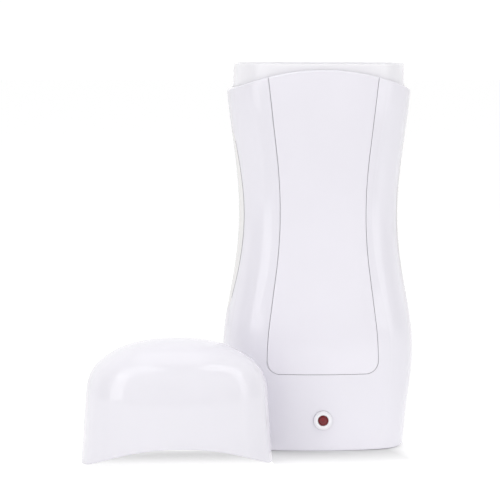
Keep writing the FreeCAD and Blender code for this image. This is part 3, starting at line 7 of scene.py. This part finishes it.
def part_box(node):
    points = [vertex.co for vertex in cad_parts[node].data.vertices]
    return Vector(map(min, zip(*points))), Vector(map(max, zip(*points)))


# Roll-on wax heater with its dome cap set down in front: metres, +Z up, the front faces -Y.
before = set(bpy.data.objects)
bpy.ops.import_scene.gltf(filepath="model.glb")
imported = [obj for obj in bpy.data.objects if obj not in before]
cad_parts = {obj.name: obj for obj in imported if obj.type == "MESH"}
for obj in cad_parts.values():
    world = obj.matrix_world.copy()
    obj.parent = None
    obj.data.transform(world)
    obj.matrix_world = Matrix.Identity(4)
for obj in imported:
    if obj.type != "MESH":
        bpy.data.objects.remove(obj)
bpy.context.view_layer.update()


# ---- Front shell -----------------------------------------------------------------------------
# The front half of the hourglass housing, injection moulded in cool white ABS in a polished
# tool. Its bosses take the four casing screws, and a recess in its face takes the panel.


def start_finish(name, colour, roughness, **constants):
    """A material whose constant values sit on the shader's own sockets."""
    finish = bpy.data.materials.new(name)
    finish.use_nodes = True
    shader = finish.node_tree.nodes["Principled BSDF"]
    shader.inputs["Base Color"].default_value = (*colour, 1.0)
    shader.inputs["Roughness"].default_value = roughness
    for socket, value in constants.items():
        shader.inputs[socket.replace("_", " ")].default_value = value
    return finish


def link(finish, source, target):
    """A wire between two sockets, in a material or in the world."""
    finish.node_tree.links.new(source, target)


def into_shader(finish, source, socket):
    """A wire into the surface shader."""
    link(finish, source, finish.node_tree.nodes["Principled BSDF"].inputs[socket])


def on_object(finish, stretch=(1.0, 1.0, 1.0), centre=(0.0, 0.0, 0.0)):
    """The piece's own coordinates, moved to a centre and stretched by three factors."""
    nodes = finish.node_tree.nodes
    place = nodes.new("ShaderNodeTexCoord")
    mapping = nodes.new("ShaderNodeMapping")
    mapping.vector_type = "TEXTURE"
    mapping.inputs["Location"].default_value = centre
    mapping.inputs["Scale"].default_value = stretch
    link(finish, place.outputs["Object"], mapping.inputs["Vector"])
    return mapping.outputs["Vector"]


def along(finish, axis):
    """The place along one of the piece's own axes."""
    split = finish.node_tree.nodes.new("ShaderNodeSeparateXYZ")
    link(finish, on_object(finish), split.inputs["Vector"])
    return split.outputs[axis]


def length_of(finish, vector):
    """How long a vector is."""
    length = finish.node_tree.nodes.new("ShaderNodeVectorMath")
    length.operation = "LENGTH"
    link(finish, vector, length.inputs[0])
    return length.outputs["Value"]


def grain(finish, cell, stretch=(1.0, 1.0, 1.0), detail=2.0, kind="Noise"):
    """A pattern whose cells are about that many metres across, stretched by three factors."""
    pattern = finish.node_tree.nodes.new(f"ShaderNodeTex{kind}")
    pattern.inputs["Scale"].default_value = 1.0 / cell
    if kind == "Noise":
        pattern.inputs["Detail"].default_value = detail
    link(finish, on_object(finish, stretch), pattern.inputs["Vector"])
    return pattern.outputs[0]


def tint(finish, pattern, first, second, low=0.35, high=0.65):
    """The colour wanders from the first shade to the second with the pattern."""
    ramp = finish.node_tree.nodes.new("ShaderNodeValToRGB")
    for element, position, shade in zip(ramp.color_ramp.elements, (low, high), (first, second)):
        element.position = position
        element.color = (*shade, 1.0)
    link(finish, pattern, ramp.inputs["Fac"])
    into_shader(finish, ramp.outputs["Color"], "Base Color")


def spread(finish, value, start, end, first, last):
    """A value that goes from first to last as another goes from start to end."""
    change = finish.node_tree.nodes.new("ShaderNodeMapRange")
    for socket, number in (("From Min", start), ("From Max", end),
                           ("To Min", first), ("To Max", last)):
        change.inputs[socket].default_value = number
    link(finish, value, change.inputs["Value"])
    return change.outputs["Result"]


def vary(finish, socket, pattern, lowest, highest):
    """One of the shader's values wanders between two limits with the pattern."""
    into_shader(finish, spread(finish, pattern, 0.0, 1.0, lowest, highest), socket)


def relief(finish, pattern, height):
    """The pattern raises the surface by up to that many metres."""
    bump = finish.node_tree.nodes.new("ShaderNodeBump")
    bump.inputs["Strength"].default_value = 1.0
    bump.inputs["Distance"].default_value = height
    link(finish, pattern, bump.inputs["Height"])
    into_shader(finish, bump.outputs["Normal"], "Normal")


def polished_abs(name, colour, roughness):
    """Glossy moulding: faint clouds in the pigment, a hazier film in places, slow ripples."""
    finish = start_finish(name, colour, roughness, IOR=1.54)
    paler = [min(1.0, part * 1.014) for part in colour]
    tint(finish, grain(finish, 0.028), colour, paler)
    vary(finish, "Roughness", grain(finish, 0.005, detail=4.0), roughness * 0.8, roughness * 1.3)
    relief(finish, grain(finish, 0.007, detail=0.0), 4.0e-6)
    return finish


def within(finish, value, middle, reach):
    """1 where a value lies no further than the reach from the middle, and 0 elsewhere."""
    compare = finish.node_tree.nodes.new("ShaderNodeMath")
    compare.operation = "COMPARE"
    compare.inputs[1].default_value = middle
    compare.inputs[2].default_value = reach
    link(finish, value, compare.inputs[0])
    return compare.outputs["Value"]


def product(finish, first, second):
    """Two values multiplied."""
    times = finish.node_tree.nodes.new("ShaderNodeMath")
    times.operation = "MULTIPLY"
    link(finish, first, times.inputs[0])
    link(finish, second, times.inputs[1])
    return times.outputs["Value"]


def painted_over(finish, mask, shade):
    """The base colour as it is, with another shade where the mask is 1."""
    colour = finish.node_tree.nodes["Principled BSDF"].inputs["Base Color"]
    mix = finish.node_tree.nodes.new("ShaderNodeMix")
    mix.data_type = "RGBA"
    link(finish, mask, mix.inputs["Factor"])
    link(finish, colour.links[0].from_socket, mix.inputs["A"])
    mix.inputs["B"].default_value = (*shade, 1.0)
    link(finish, mix.outputs["Result"], colour)


def shade_seam(finish, reach, darkest):
    """Shadow along the bow of the parting line, at the waist, where its edges stand open."""
    bow_radius, bow_front, bow_height, bow_half = 0.130, -0.010, 0.090, 0.031
    seen_from_side = (1000.0, 1.0, 1.0)
    bow_centre = (0.0, bow_front + bow_radius, bow_height)
    from_centre = length_of(finish, on_object(finish, seen_from_side, bow_centre))
    on_bow = within(finish, from_centre, bow_radius, reach)
    at_waist = within(finish, along(finish, "Z"), bow_height, bow_half)
    painted_over(finish, product(finish, on_bow, at_waist), darkest)


def dress(node, finish):
    """A CAD solid takes the finish on its own material slots."""
    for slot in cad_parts[node].material_slots:
        slot.material = finish


cool_white = (0.862, 0.845, 0.905)
front_abs = polished_abs("front_abs", cool_white, roughness=0.08)
shade_seam(front_abs, reach=0.0003, darkest=(0.42, 0.40, 0.46))
dress("front_shell", front_abs)

# ---- Rear shell ------------------------------------------------------------------------------
# The rear half, from the same kind of tool but a warmer batch of ABS, so the strip behind the
# parting line looks a shade yellower. Counterbores at the back take the four screw heads.

warm_white = (0.888, 0.876, 0.874)
rear_abs = polished_abs("rear_abs", warm_white, roughness=0.08)
shade_seam(rear_abs, reach=0.00055, darkest=(0.50, 0.49, 0.50))
dress("rear_shell", rear_abs)

# ---- Front panel -----------------------------------------------------------------------------
# A separate hourglass plate in the whitest ABS, polished brighter than the housing. It drops
# into the recess and its four pegs are melted over on the inside.

panel_white = (0.886, 0.866, 0.928)
dress("front_panel", polished_abs("panel_abs", panel_white, roughness=0.1))

# ---- Pilot lamp: bezel and lens --------------------------------------------------------------
# A white ring pressed into the front shell holds a small domed lens of dark red polycarbonate.
# A prism disc inside the lens looks paler than its rim, and the lamp shows as a red point.


def from_axis(finish, centre, radius):
    """1 on a line along Y through the centre, and 0 at the radius from it and beyond."""
    gradient = finish.node_tree.nodes.new("ShaderNodeTexGradient")
    gradient.gradient_type = "SPHERICAL"
    link(finish, on_object(finish, (radius, 1.0, radius), centre), gradient.inputs["Vector"])
    return gradient.outputs["Fac"]


def rings(finish, pattern, steps):
    """The base colour goes through a list of steps, each a position and a shade."""
    ramp = finish.node_tree.nodes.new("ShaderNodeValToRGB")
    elements = ramp.color_ramp.elements
    elements[0].position, elements[1].position = steps[0][0], steps[-1][0]
    elements[0].color, elements[1].color = (*steps[0][1], 1.0), (*steps[-1][1], 1.0)
    for position, shade in steps[1:-1]:
        elements.new(position).color = (*shade, 1.0)
    link(finish, pattern, ramp.inputs["Fac"])
    into_shader(finish, ramp.outputs["Color"], "Base Color")


low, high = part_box("indicator_bezel")
lamp_axis = ((low[0] + high[0]) / 2, low[1], (low[2] + high[2]) / 2)
bezel_radius = (high[0] - low[0]) / 2
bezel_abs = start_finish("bezel_abs", (0.91, 0.90, 0.94), 0.16, IOR=1.5)
# Painted shade greys the ring's outer edge, and a painted highlight whitens it next to the lens.
rings(bezel_abs, from_axis(bezel_abs, lamp_axis, bezel_radius), [
    (0.02, (0.86, 0.85, 0.89)),
    (0.20, (0.90, 0.89, 0.93)),
    (0.26, (0.98, 0.98, 1.0)),
])
vary(bezel_abs, "Roughness", grain(bezel_abs, 0.002, detail=3.0), 0.12, 0.24)
relief(bezel_abs, grain(bezel_abs, 0.002), 3.0e-6)
dress("indicator_bezel", bezel_abs)

low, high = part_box("indicator_lens")
lens_axis = ((low[0] + high[0]) / 2, low[1], (low[2] + high[2]) / 2)
lamp_point = (lens_axis[0] - 0.0003, lens_axis[1], lens_axis[2] + 0.0005)
dome_radius = 0.00195
point_radius = 0.00055
lens_red = start_finish("lens_polycarbonate", (0.20, 0.01, 0.018), 0.12, IOR=1.45)
rings(lens_red, from_axis(lens_red, lens_axis, dome_radius), [
    (0.0, (0.15, 0.003, 0.008)),
    (0.20, (0.17, 0.004, 0.009)),
    (0.28, (0.13, 0.004, 0.008)),
    (0.36, (0.20, 0.028, 0.032)),
    (1.0, (0.19, 0.022, 0.026)),
])
painted_over(lens_red, from_axis(lens_red, lamp_point, point_radius), (0.34, 0.006, 0.016))
vary(lens_red, "Roughness", grain(lens_red, 0.0009), 0.1, 0.22)
relief(lens_red, grain(lens_red, 0.0006, kind="Voronoi"), 2.0e-5)
dress("indicator_lens", lens_red)

# ---- Lamp board ------------------------------------------------------------------------------
# A punched board of brown phenolic paper carries the lamp, a lacquered film resistor with its
# colour bands and a black moulded diode with its pale band. Two screws hold it on its posts.


def banded(name, ground, bands, half_length, roughness):
    """Stripes across a part that lies along X: each a middle, a half width and a colour."""
    finish = start_finish(name, ground, roughness)
    ramp = finish.node_tree.nodes.new("ShaderNodeValToRGB")
    ramp.color_ramp.interpolation = "CONSTANT"
    elements = ramp.color_ramp.elements
    elements[1].position = 1.0
    elements[0].color = elements[1].color = (*ground, 1.0)
    for middle, half, colour in bands:
        for position, shade in ((middle - half, colour), (middle + half, ground)):
            elements.new(position).color = (*shade, 1.0)
    share = spread(finish, along(finish, "X"), -half_length, half_length, 0.0, 1.0)
    link(finish, share, ramp.inputs["Fac"])
    into_shader(finish, ramp.outputs["Color"], "Base Color")
    relief(finish, grain(finish, 0.0004), 4.0e-6)
    return finish


board_paper = start_finish("board_laminate", (0.44, 0.29, 0.12), 0.45)
tint(board_paper, grain(board_paper, 0.0012, stretch=(4.0, 1.0, 1.0), detail=5.0),
     (0.38, 0.24, 0.09), (0.52, 0.36, 0.16))
vary(board_paper, "Roughness", grain(board_paper, 0.003), 0.35, 0.55)
relief(board_paper, grain(board_paper, 0.0005, detail=3.0), 6.0e-6)
dress("control_board", board_paper)

lamp_resin = start_finish("lamp_resin", (0.72, 0.06, 0.05), 0.08,
                          Transmission_Weight=0.6, IOR=1.52)
tint(lamp_resin, grain(lamp_resin, 0.002), (0.66, 0.04, 0.035), (0.78, 0.09, 0.07))
dress("indicator_lamp", lamp_resin)

part_half_length = 0.00315
dress("lamp_resistor", banded("resistor_lacquer", (0.66, 0.53, 0.36), [
    (0.24, 0.045, (0.30, 0.07, 0.02)),
    (0.42, 0.045, (0.02, 0.02, 0.02)),
    (0.58, 0.045, (0.85, 0.45, 0.03)),
    (0.80, 0.045, (0.55, 0.40, 0.12)),
], part_half_length, 0.3))
dress("lamp_diode", banded("diode_epoxy", (0.02, 0.02, 0.022), [
    (0.78, 0.09, (0.62, 0.62, 0.60)),
], part_half_length, 0.4))

screw_zinc = start_finish("screw_zinc", (0.56, 0.566, 0.582), 0.3, Metallic=1.0)
tint(screw_zinc, grain(screw_zinc, 0.0012, detail=3.0),
     (0.482, 0.493, 0.521), (0.627, 0.627, 0.616))
vary(screw_zinc, "Roughness", grain(screw_zinc, 0.0005, detail=4.0), 0.22, 0.42)
relief(screw_zinc, grain(screw_zinc, 0.0003, detail=2.0), 3.0e-6)
dress("board_screws", screw_zinc)

# ---- Well liner ------------------------------------------------------------------------------
# Collar and cartridge cup in one piece of heat-resistant white nylon. A bead under the collar
# snaps into a groove of the two shells, so it goes in before they are closed.

liner_white = (0.90, 0.885, 0.942)
liner_nylon = start_finish("liner_nylon", liner_white, 0.22, IOR=1.53, Subsurface_Weight=0.6,
                           Subsurface_Scale=0.004, Subsurface_Radius=(1.0, 1.0, 1.0))
tint(liner_nylon, grain(liner_nylon, 0.02), liner_white, [part * 1.018 for part in liner_white])
vary(liner_nylon, "Roughness", grain(liner_nylon, 0.004, detail=4.0), 0.18, 0.3)
relief(liner_nylon, grain(liner_nylon, 0.004, detail=1.0), 4.0e-6)
dress("well_liner", liner_nylon)

# ---- Heater ----------------------------------------------------------------------------------
# An extruded aluminium plate fills the window in the cup's rear wall. Two grey ceramic stones
# lie on it between amber polyimide films, and a bent strip of spring steel presses them on.

plate_metal = start_finish("plate_aluminium", (0.78, 0.785, 0.80), 0.28, Metallic=1.0)
die_lines = grain(plate_metal, 0.0006, stretch=(1.0, 1.0, 60.0), detail=4.0)
tint(plate_metal, die_lines, (0.70, 0.705, 0.72), (0.84, 0.845, 0.855))
vary(plate_metal, "Roughness", die_lines, 0.2, 0.4)
relief(plate_metal, die_lines, 8.0e-6)
dress("heater_plate", plate_metal)

film_amber = start_finish("film_polyimide", (0.60, 0.26, 0.03), 0.18,
                          Transmission_Weight=0.3, IOR=1.7)
tint(film_amber, grain(film_amber, 0.01), (0.54, 0.22, 0.02), (0.66, 0.31, 0.05))
relief(film_amber, grain(film_amber, 0.004, stretch=(1.0, 1.0, 5.0)), 3.0e-5)
dress("insulating_films", film_amber)

stone_grey = start_finish("stone_ceramic", (0.27, 0.265, 0.26), 0.7)
tint(stone_grey, grain(stone_grey, 0.0006, detail=6.0), (0.20, 0.195, 0.19), (0.36, 0.355, 0.35))
relief(stone_grey, grain(stone_grey, 0.0004, detail=5.0), 1.5e-5)
dress("ptc_stones", stone_grey)

spring_steel = start_finish("spring_steel", (0.50, 0.50, 0.51), 0.25, Metallic=1.0)
rolling_lines = grain(spring_steel, 0.0004, stretch=(1.0, 1.0, 80.0), detail=3.0)
tint(spring_steel, rolling_lines, (0.43, 0.43, 0.445), (0.58, 0.58, 0.585))
vary(spring_steel, "Roughness", rolling_lines, 0.18, 0.36)
relief(spring_steel, rolling_lines, 3.0e-6)
dress("heater_clamp", spring_steel)
dress("clamp_screws", screw_zinc)

# ---- Thermostat and thermal fuse -------------------------------------------------------------
# A disc thermostat of black phenolic with an aluminium cup face stands on the plate's tongue on
# two screws. Beside it a ceramic thermal fuse lies under a clip of spring steel.



def beyond(finish, value, limit):
    """1 where a value is over the limit, and 0 elsewhere."""
    compare = finish.node_tree.nodes.new("ShaderNodeMath")
    compare.operation = "GREATER_THAN"
    compare.inputs[1].default_value = limit
    link(finish, value, compare.inputs[0])
    return compare.outputs["Value"]


cup_face = 0.0151  # the cup and its ears lie behind this plane, the phenolic body before it
phenolic_black = (0.035, 0.034, 0.033)
cup_metal = (0.74, 0.745, 0.76)
disc_black = start_finish("thermostat_phenolic", phenolic_black, 0.5)
is_cup = beyond(disc_black, along(disc_black, "Y"), cup_face)
tint(disc_black, is_cup, phenolic_black, cup_metal, 0.4, 0.6)
vary(disc_black, "Metallic", is_cup, 0.0, 1.0)
vary(disc_black, "Roughness", is_cup, 0.55, 0.3)
relief(disc_black, grain(disc_black, 0.0005, detail=4.0), 1.0e-5)
dress("thermostat", disc_black)
dress("thermostat_screws", screw_zinc)

fuse_ceramic = start_finish("fuse_ceramic", (0.83, 0.81, 0.76), 0.35)
tint(fuse_ceramic, grain(fuse_ceramic, 0.0015, detail=4.0),
     (0.78, 0.755, 0.70), (0.86, 0.845, 0.80))
relief(fuse_ceramic, grain(fuse_ceramic, 0.0005, detail=3.0), 8.0e-6)
dress("thermal_fuse", fuse_ceramic)
dress("fuse_clip", spring_steel)

# ---- Mains inlet -----------------------------------------------------------------------------
# A figure-of-eight inlet moulded in black polyamide around two nickel-plated brass pins. Its
# flange bears on a flat inside the rear shell, which traps it when the shells close.

inlet_black = start_finish("inlet_polyamide", (0.028, 0.028, 0.03), 0.42)
tint(inlet_black, grain(inlet_black, 0.006), (0.022, 0.022, 0.024), (0.036, 0.036, 0.039))
vary(inlet_black, "Roughness", grain(inlet_black, 0.0015, detail=3.0), 0.34, 0.52)
relief(inlet_black, grain(inlet_black, 0.0004, detail=4.0), 8.0e-6)
dress("inlet_socket", inlet_black)

pin_nickel = start_finish("pin_nickel", (0.66, 0.61, 0.52), 0.2, Metallic=1.0)
turned_rings = grain(pin_nickel, 0.0003, stretch=(60.0, 1.0, 60.0), detail=2.0)
tint(pin_nickel, turned_rings, (0.60, 0.55, 0.46), (0.72, 0.67, 0.58))
vary(pin_nickel, "Roughness", turned_rings, 0.14, 0.3)
dress("inlet_pins", pin_nickel)

# ---- Leads -----------------------------------------------------------------------------------
# Stranded copper in soft PVC: brown for the live side, blue for the neutral side and red, in
# silicone, for the two leads of the stones. They are soldered or crimped at both ends.


def lead_skin(name, colour, roughness):
    """Drawn insulation: a soft shine, finely pitted, with a dusty bloom."""
    finish = start_finish(name, colour, roughness)
    darker = [part * 0.8 for part in colour]
    tint(finish, grain(finish, 0.003, detail=3.0), darker, colour)
    vary(finish, "Roughness", grain(finish, 0.001, detail=3.0), roughness * 0.8, roughness * 1.3)
    relief(finish, grain(finish, 0.0004), 4.0e-6)
    return finish


live_brown = lead_skin("live_pvc", (0.20, 0.075, 0.03), 0.35)
dress("live_lead", live_brown)
dress("fuse_lead", live_brown)
neutral_blue = lead_skin("neutral_pvc", (0.03, 0.12, 0.42), 0.35)
dress("neutral_lead", neutral_blue)
dress("thermostat_lead", neutral_blue)
dress("heater_leads", lead_skin("heater_silicone", (0.52, 0.035, 0.03), 0.5))

# ---- Casing screws ---------------------------------------------------------------------------
# Four zinc-plated pan-head screws, driven from behind through the rear shell into the front
# shell's bosses. They stand deep in their counterbores.

dress("casing_screws", screw_zinc)

# ---- Base cover, its screws and the foot ring ------------------------------------------------
# A flat plate of white ABS with a fine spark-eroded grain closes the housing from below on four
# screws. The ring of pale thermoplastic rubber that it stands on is glued under it.

cover_white = (0.80, 0.80, 0.81)
cover_abs = start_finish("cover_abs", cover_white, 0.5)
tint(cover_abs, grain(cover_abs, 0.02), cover_white, [part * 1.03 for part in cover_white])
sparks = grain(cover_abs, 0.0005, detail=3.0)
vary(cover_abs, "Roughness", sparks, 0.42, 0.62)
relief(cover_abs, sparks, 2.0e-5)
dress("base_cover", cover_abs)
dress("cover_screws", screw_zinc)

foot_rubber = start_finish("foot_rubber", (0.60, 0.60, 0.60), 0.8)
tint(foot_rubber, grain(foot_rubber, 0.004, detail=3.0), (0.54, 0.54, 0.54), (0.66, 0.66, 0.66))
relief(foot_rubber, grain(foot_rubber, 0.0006, detail=4.0), 2.0e-5)
dress("foot_ring", foot_rubber)

# ---- Cap -------------------------------------------------------------------------------------
# The dome lid, moulded in cool white ABS in a mirror-polished tool. Its arched rim follows the
# housing's, and it only rests on the shoulder. Here it stands on the rim's two low ends.

cap_white = (0.866, 0.850, 0.905)
dress("cap", polished_abs("cap_abs", cap_white, roughness=0.03))

# ---- Floor -----------------------------------------------------------------------------------
# A wide sheet of matt white board. It ends half a metre before the object, and the dimmer room
# beyond that edge draws the lower line in the mouldings. To the camera it glows up to plain
# white away from the object. Close round the foot and under the cap the glow is held back, so
# the object's soft shadow is left there, with its reach and its fade painted.

board_size = 8.0
board_middle = (0.0, 3.5, 0.0)
bpy.ops.object.select_all(action="DESELECT")
bpy.ops.mesh.primitive_plane_add(size=board_size, location=board_middle)
bpy.ops.object.transform_apply(location=True)
floor = bpy.context.object
floor.name = "studio_floor"
board_white = bpy.data.materials.new("floor_board")
board_white.use_nodes = True
nodes = board_white.node_tree.nodes
nodes.clear()


def largest(finish, first, *others):
    """The largest of some values."""
    for other in others:
        larger = finish.node_tree.nodes.new("ShaderNodeMath")
        larger.operation = "MAXIMUM"
        link(finish, first, larger.inputs[0])
        link(finish, other, larger.inputs[1])
        first = larger.outputs["Value"]
    return first


def oval_reach(finish, node):
    """1 on the oval that fits a piece's outline from above, and in proportion beyond it."""
    low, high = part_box(node)
    middle = ((low[0] + high[0]) / 2, (low[1] + high[1]) / 2, 0.0)
    halves = ((high[0] - low[0]) / 2, (high[1] - low[1]) / 2, 1.0)
    return length_of(finish, on_object(finish, halves, middle))


# The open floor's glow grows from the edge of the housing's shadow outwards: before the foot in
# multiples of the foot's own oval, and beside it in metres. A little is left at the contact.
open_glow = 0.50
shadow_edge, shadow_end = 1.12, 3.1
side_edge, side_end = 0.025, 0.036
contact_glow = 0.30
contact_edge, contact_end = 1.02, 1.16
foot_reach = oval_reach(board_white, "base_cover")
from_middle = nodes.new("ShaderNodeMath")
from_middle.operation = "ABSOLUTE"
link(board_white, along(board_white, "X"), from_middle.inputs[0])
open_floor = largest(
    board_white,
    spread(board_white, foot_reach, contact_edge, contact_end, contact_glow, 0.0),
    spread(board_white, foot_reach, shadow_edge, shadow_end, 0.0, open_glow),
    spread(board_white, from_middle.outputs["Value"], side_edge, side_end, 0.0, open_glow))

# Under the cap the glow fades from the arch in front to the wall behind, a painted shadow.
arch_glow, wall_glow = 0.88, 0.36
cap_depth = 0.030
cap_cover = 1.12  # reach of the oval that covers the cap's corners
cap_right, cap_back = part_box("cap")[1][:2]
under_cap = spread(board_white, along(board_white, "Y"), cap_back - cap_depth, cap_back,
                   arch_glow, wall_glow)
clear_of_cap = largest(
    board_white,
    beyond(board_white, oval_reach(board_white, "cap"), cap_cover),
    beyond(board_white, along(board_white, "X"), cap_right))
choice = nodes.new("ShaderNodeMix")
link(board_white, clear_of_cap, choice.inputs["Factor"])
link(board_white, under_cap, choice.inputs["A"])
link(board_white, open_floor, choice.inputs["B"])

# Mirrored and seen through clear parts, the floor glows a little all over. Round the foot it
# also gives back some of the light that such a board throws up.
mirrored_glow = 0.2
bounce_glow, bounce_end = 0.15, 4.0
rays = nodes.new("ShaderNodeLightPath")
mirrored = nodes.new("ShaderNodeMath")
mirrored.operation = "MULTIPLY"
mirrored.inputs[1].default_value = mirrored_glow
link(board_white, largest(board_white, rays.outputs["Is Glossy Ray"],
                          rays.outputs["Is Transmission Ray"]), mirrored.inputs[0])
bounced = spread(board_white, foot_reach, 1.0, bounce_end, bounce_glow, 0.0)
glow = nodes.new("ShaderNodeEmission")
link(board_white, largest(
    board_white,
    product(board_white, choice.outputs["Result"], rays.outputs["Is Camera Ray"]),
    product(board_white, bounced, rays.outputs["Is Diffuse Ray"]),
    mirrored.outputs["Value"]), glow.inputs["Strength"])

# The camera sees the board a shade darker than it is, which leaves room for the glow.
board_shade, seen_shade = 0.93, 0.70
shade = nodes.new("ShaderNodeMix")
shade.data_type = "RGBA"
shade.inputs["A"].default_value = (board_shade, board_shade, board_shade, 1.0)
shade.inputs["B"].default_value = (seen_shade, seen_shade, seen_shade, 1.0)
link(board_white, rays.outputs["Is Camera Ray"], shade.inputs["Factor"])
paint = nodes.new("ShaderNodeBsdfDiffuse")
link(board_white, shade.outputs["Result"], paint.inputs["Color"])
both = nodes.new("ShaderNodeAddShader")
link(board_white, paint.outputs["BSDF"], both.inputs[0])
link(board_white, glow.outputs["Emission"], both.inputs[1])
surface = nodes.new("ShaderNodeOutputMaterial")
link(board_white, both.outputs["Shader"], surface.inputs["Surface"])
floor.data.materials.append(board_white)

# ---- Backdrop --------------------------------------------------------------------------------
# An even white room, brighter towards the lit backdrop behind and above the object. The camera
# and clear parts see it plain white, and the mouldings mirror it plain white behind them.

room_level, backdrop_level = 0.465, 1.05
backdrop_direction = (0.0, 0.90, 0.44)
backdrop_start, backdrop_full = 0.1, 0.8
mirror_start, mirror_full = -0.2, 0.4
world = bpy.data.worlds.new("studio_room")
bpy.context.scene.world = world
world.use_nodes = True
nodes = world.node_tree.nodes
direction = nodes.new("ShaderNodeTexCoord").outputs["Generated"]
toward = nodes.new("ShaderNodeVectorMath")
toward.operation = "DOT_PRODUCT"
toward.inputs[1].default_value = backdrop_direction
link(world, direction, toward.inputs[0])
room = spread(world, toward.outputs["Value"], backdrop_start, backdrop_full,
              room_level, backdrop_level)
split = nodes.new("ShaderNodeSeparateXYZ")
link(world, direction, split.inputs["Vector"])
behind = spread(world, split.outputs["Y"], mirror_start, mirror_full, 0.0, 1.0)
rays = nodes.new("ShaderNodeLightPath")
background = nodes["Background"]
background.inputs["Color"].default_value = (1.0, 1.0, 1.0, 1.0)
link(world, largest(world, room, product(world, behind, rays.outputs["Is Glossy Ray"]),
                    rays.outputs["Is Camera Ray"], rays.outputs["Is Transmission Ray"]),
     background.inputs["Strength"])

# ---- Studio light ----------------------------------------------------------------------------
# A broad dim softbox in front, a tall one on each side whose long highlights run down the
# mouldings, two that lean in over the object and bend those highlights over the cap's crown,
# and one straight above for the pale band on top of it.

aim_height = 0.08


def add_softbox(name, foot, head, width, radiance):
    """A rectangular lamp from the middle of its foot to the middle of its head."""
    foot, head = Vector(foot), Vector(head)
    upward = (head - foot).normalized()
    middle = (foot + head) / 2
    sideways = (Vector((0.0, 0.0, aim_height)) - middle).cross(upward).normalized()
    backward = sideways.cross(upward)
    height = (head - foot).length
    bpy.ops.object.light_add(type="AREA")
    lamp = bpy.context.object
    lamp.name = name
    lamp.data.shape = "RECTANGLE"
    lamp.data.size = width
    lamp.data.size_y = height
    lamp.data.energy = radiance * math.pi * width * height
    lamp.visible_camera = False
    turn = Matrix((sideways, upward, backward)).transposed()
    lamp.matrix_world = Matrix.Translation(middle) @ turn.to_4x4()


add_softbox("softbox_front", (-0.15, -1.8, 0.0), (-0.10, -1.3, 1.5), 2.4, 0.27)
add_softbox("softbox_left", (-0.78, -0.78, 0.0), (-0.74, -0.74, 0.98), 0.48, 1.45)
add_softbox("softbox_right", (0.84, -0.71, 0.0), (0.80, -0.60, 0.98), 0.42, 1.18)
add_softbox("softbox_over_left", (-0.90, -0.72, 0.90), (-0.20, -0.48, 1.15), 0.44, 1.4)
add_softbox("softbox_over_right", (1.00, -0.50, 0.90), (0.26, -0.42, 1.15), 0.44, 1.5)
add_softbox("softbox_top", (-0.07, -0.30, 1.25), (-0.05, 0.35, 1.25), 0.62, 0.6)

# ---- Camera ----------------------------------------------------------------------------------
# A long lens a good metre away, a little left of the middle and a little above the rim.

camera_place = (-0.1038, -1.1453, 0.1671)
heading, pitch, roll = math.radians(3.83), math.radians(4.47), math.radians(0.12)
focal_pixels = 2896.0
frame_pixels = 500.0
bpy.ops.object.camera_add()
camera = bpy.context.object
camera.name = "camera"
turn = Euler((math.pi / 2 - pitch, 0.0, -heading)).to_matrix().to_4x4()
camera.matrix_world = Matrix.Translation(camera_place) @ turn @ Matrix.Rotation(roll, 4, "Z")
camera.data.sensor_width = 36.0
camera.data.lens = focal_pixels / frame_pixels * camera.data.sensor_width
camera.data.clip_end = 20.0
bpy.context.scene.camera = camera
bpy.context.scene.view_settings.view_transform = "Standard"
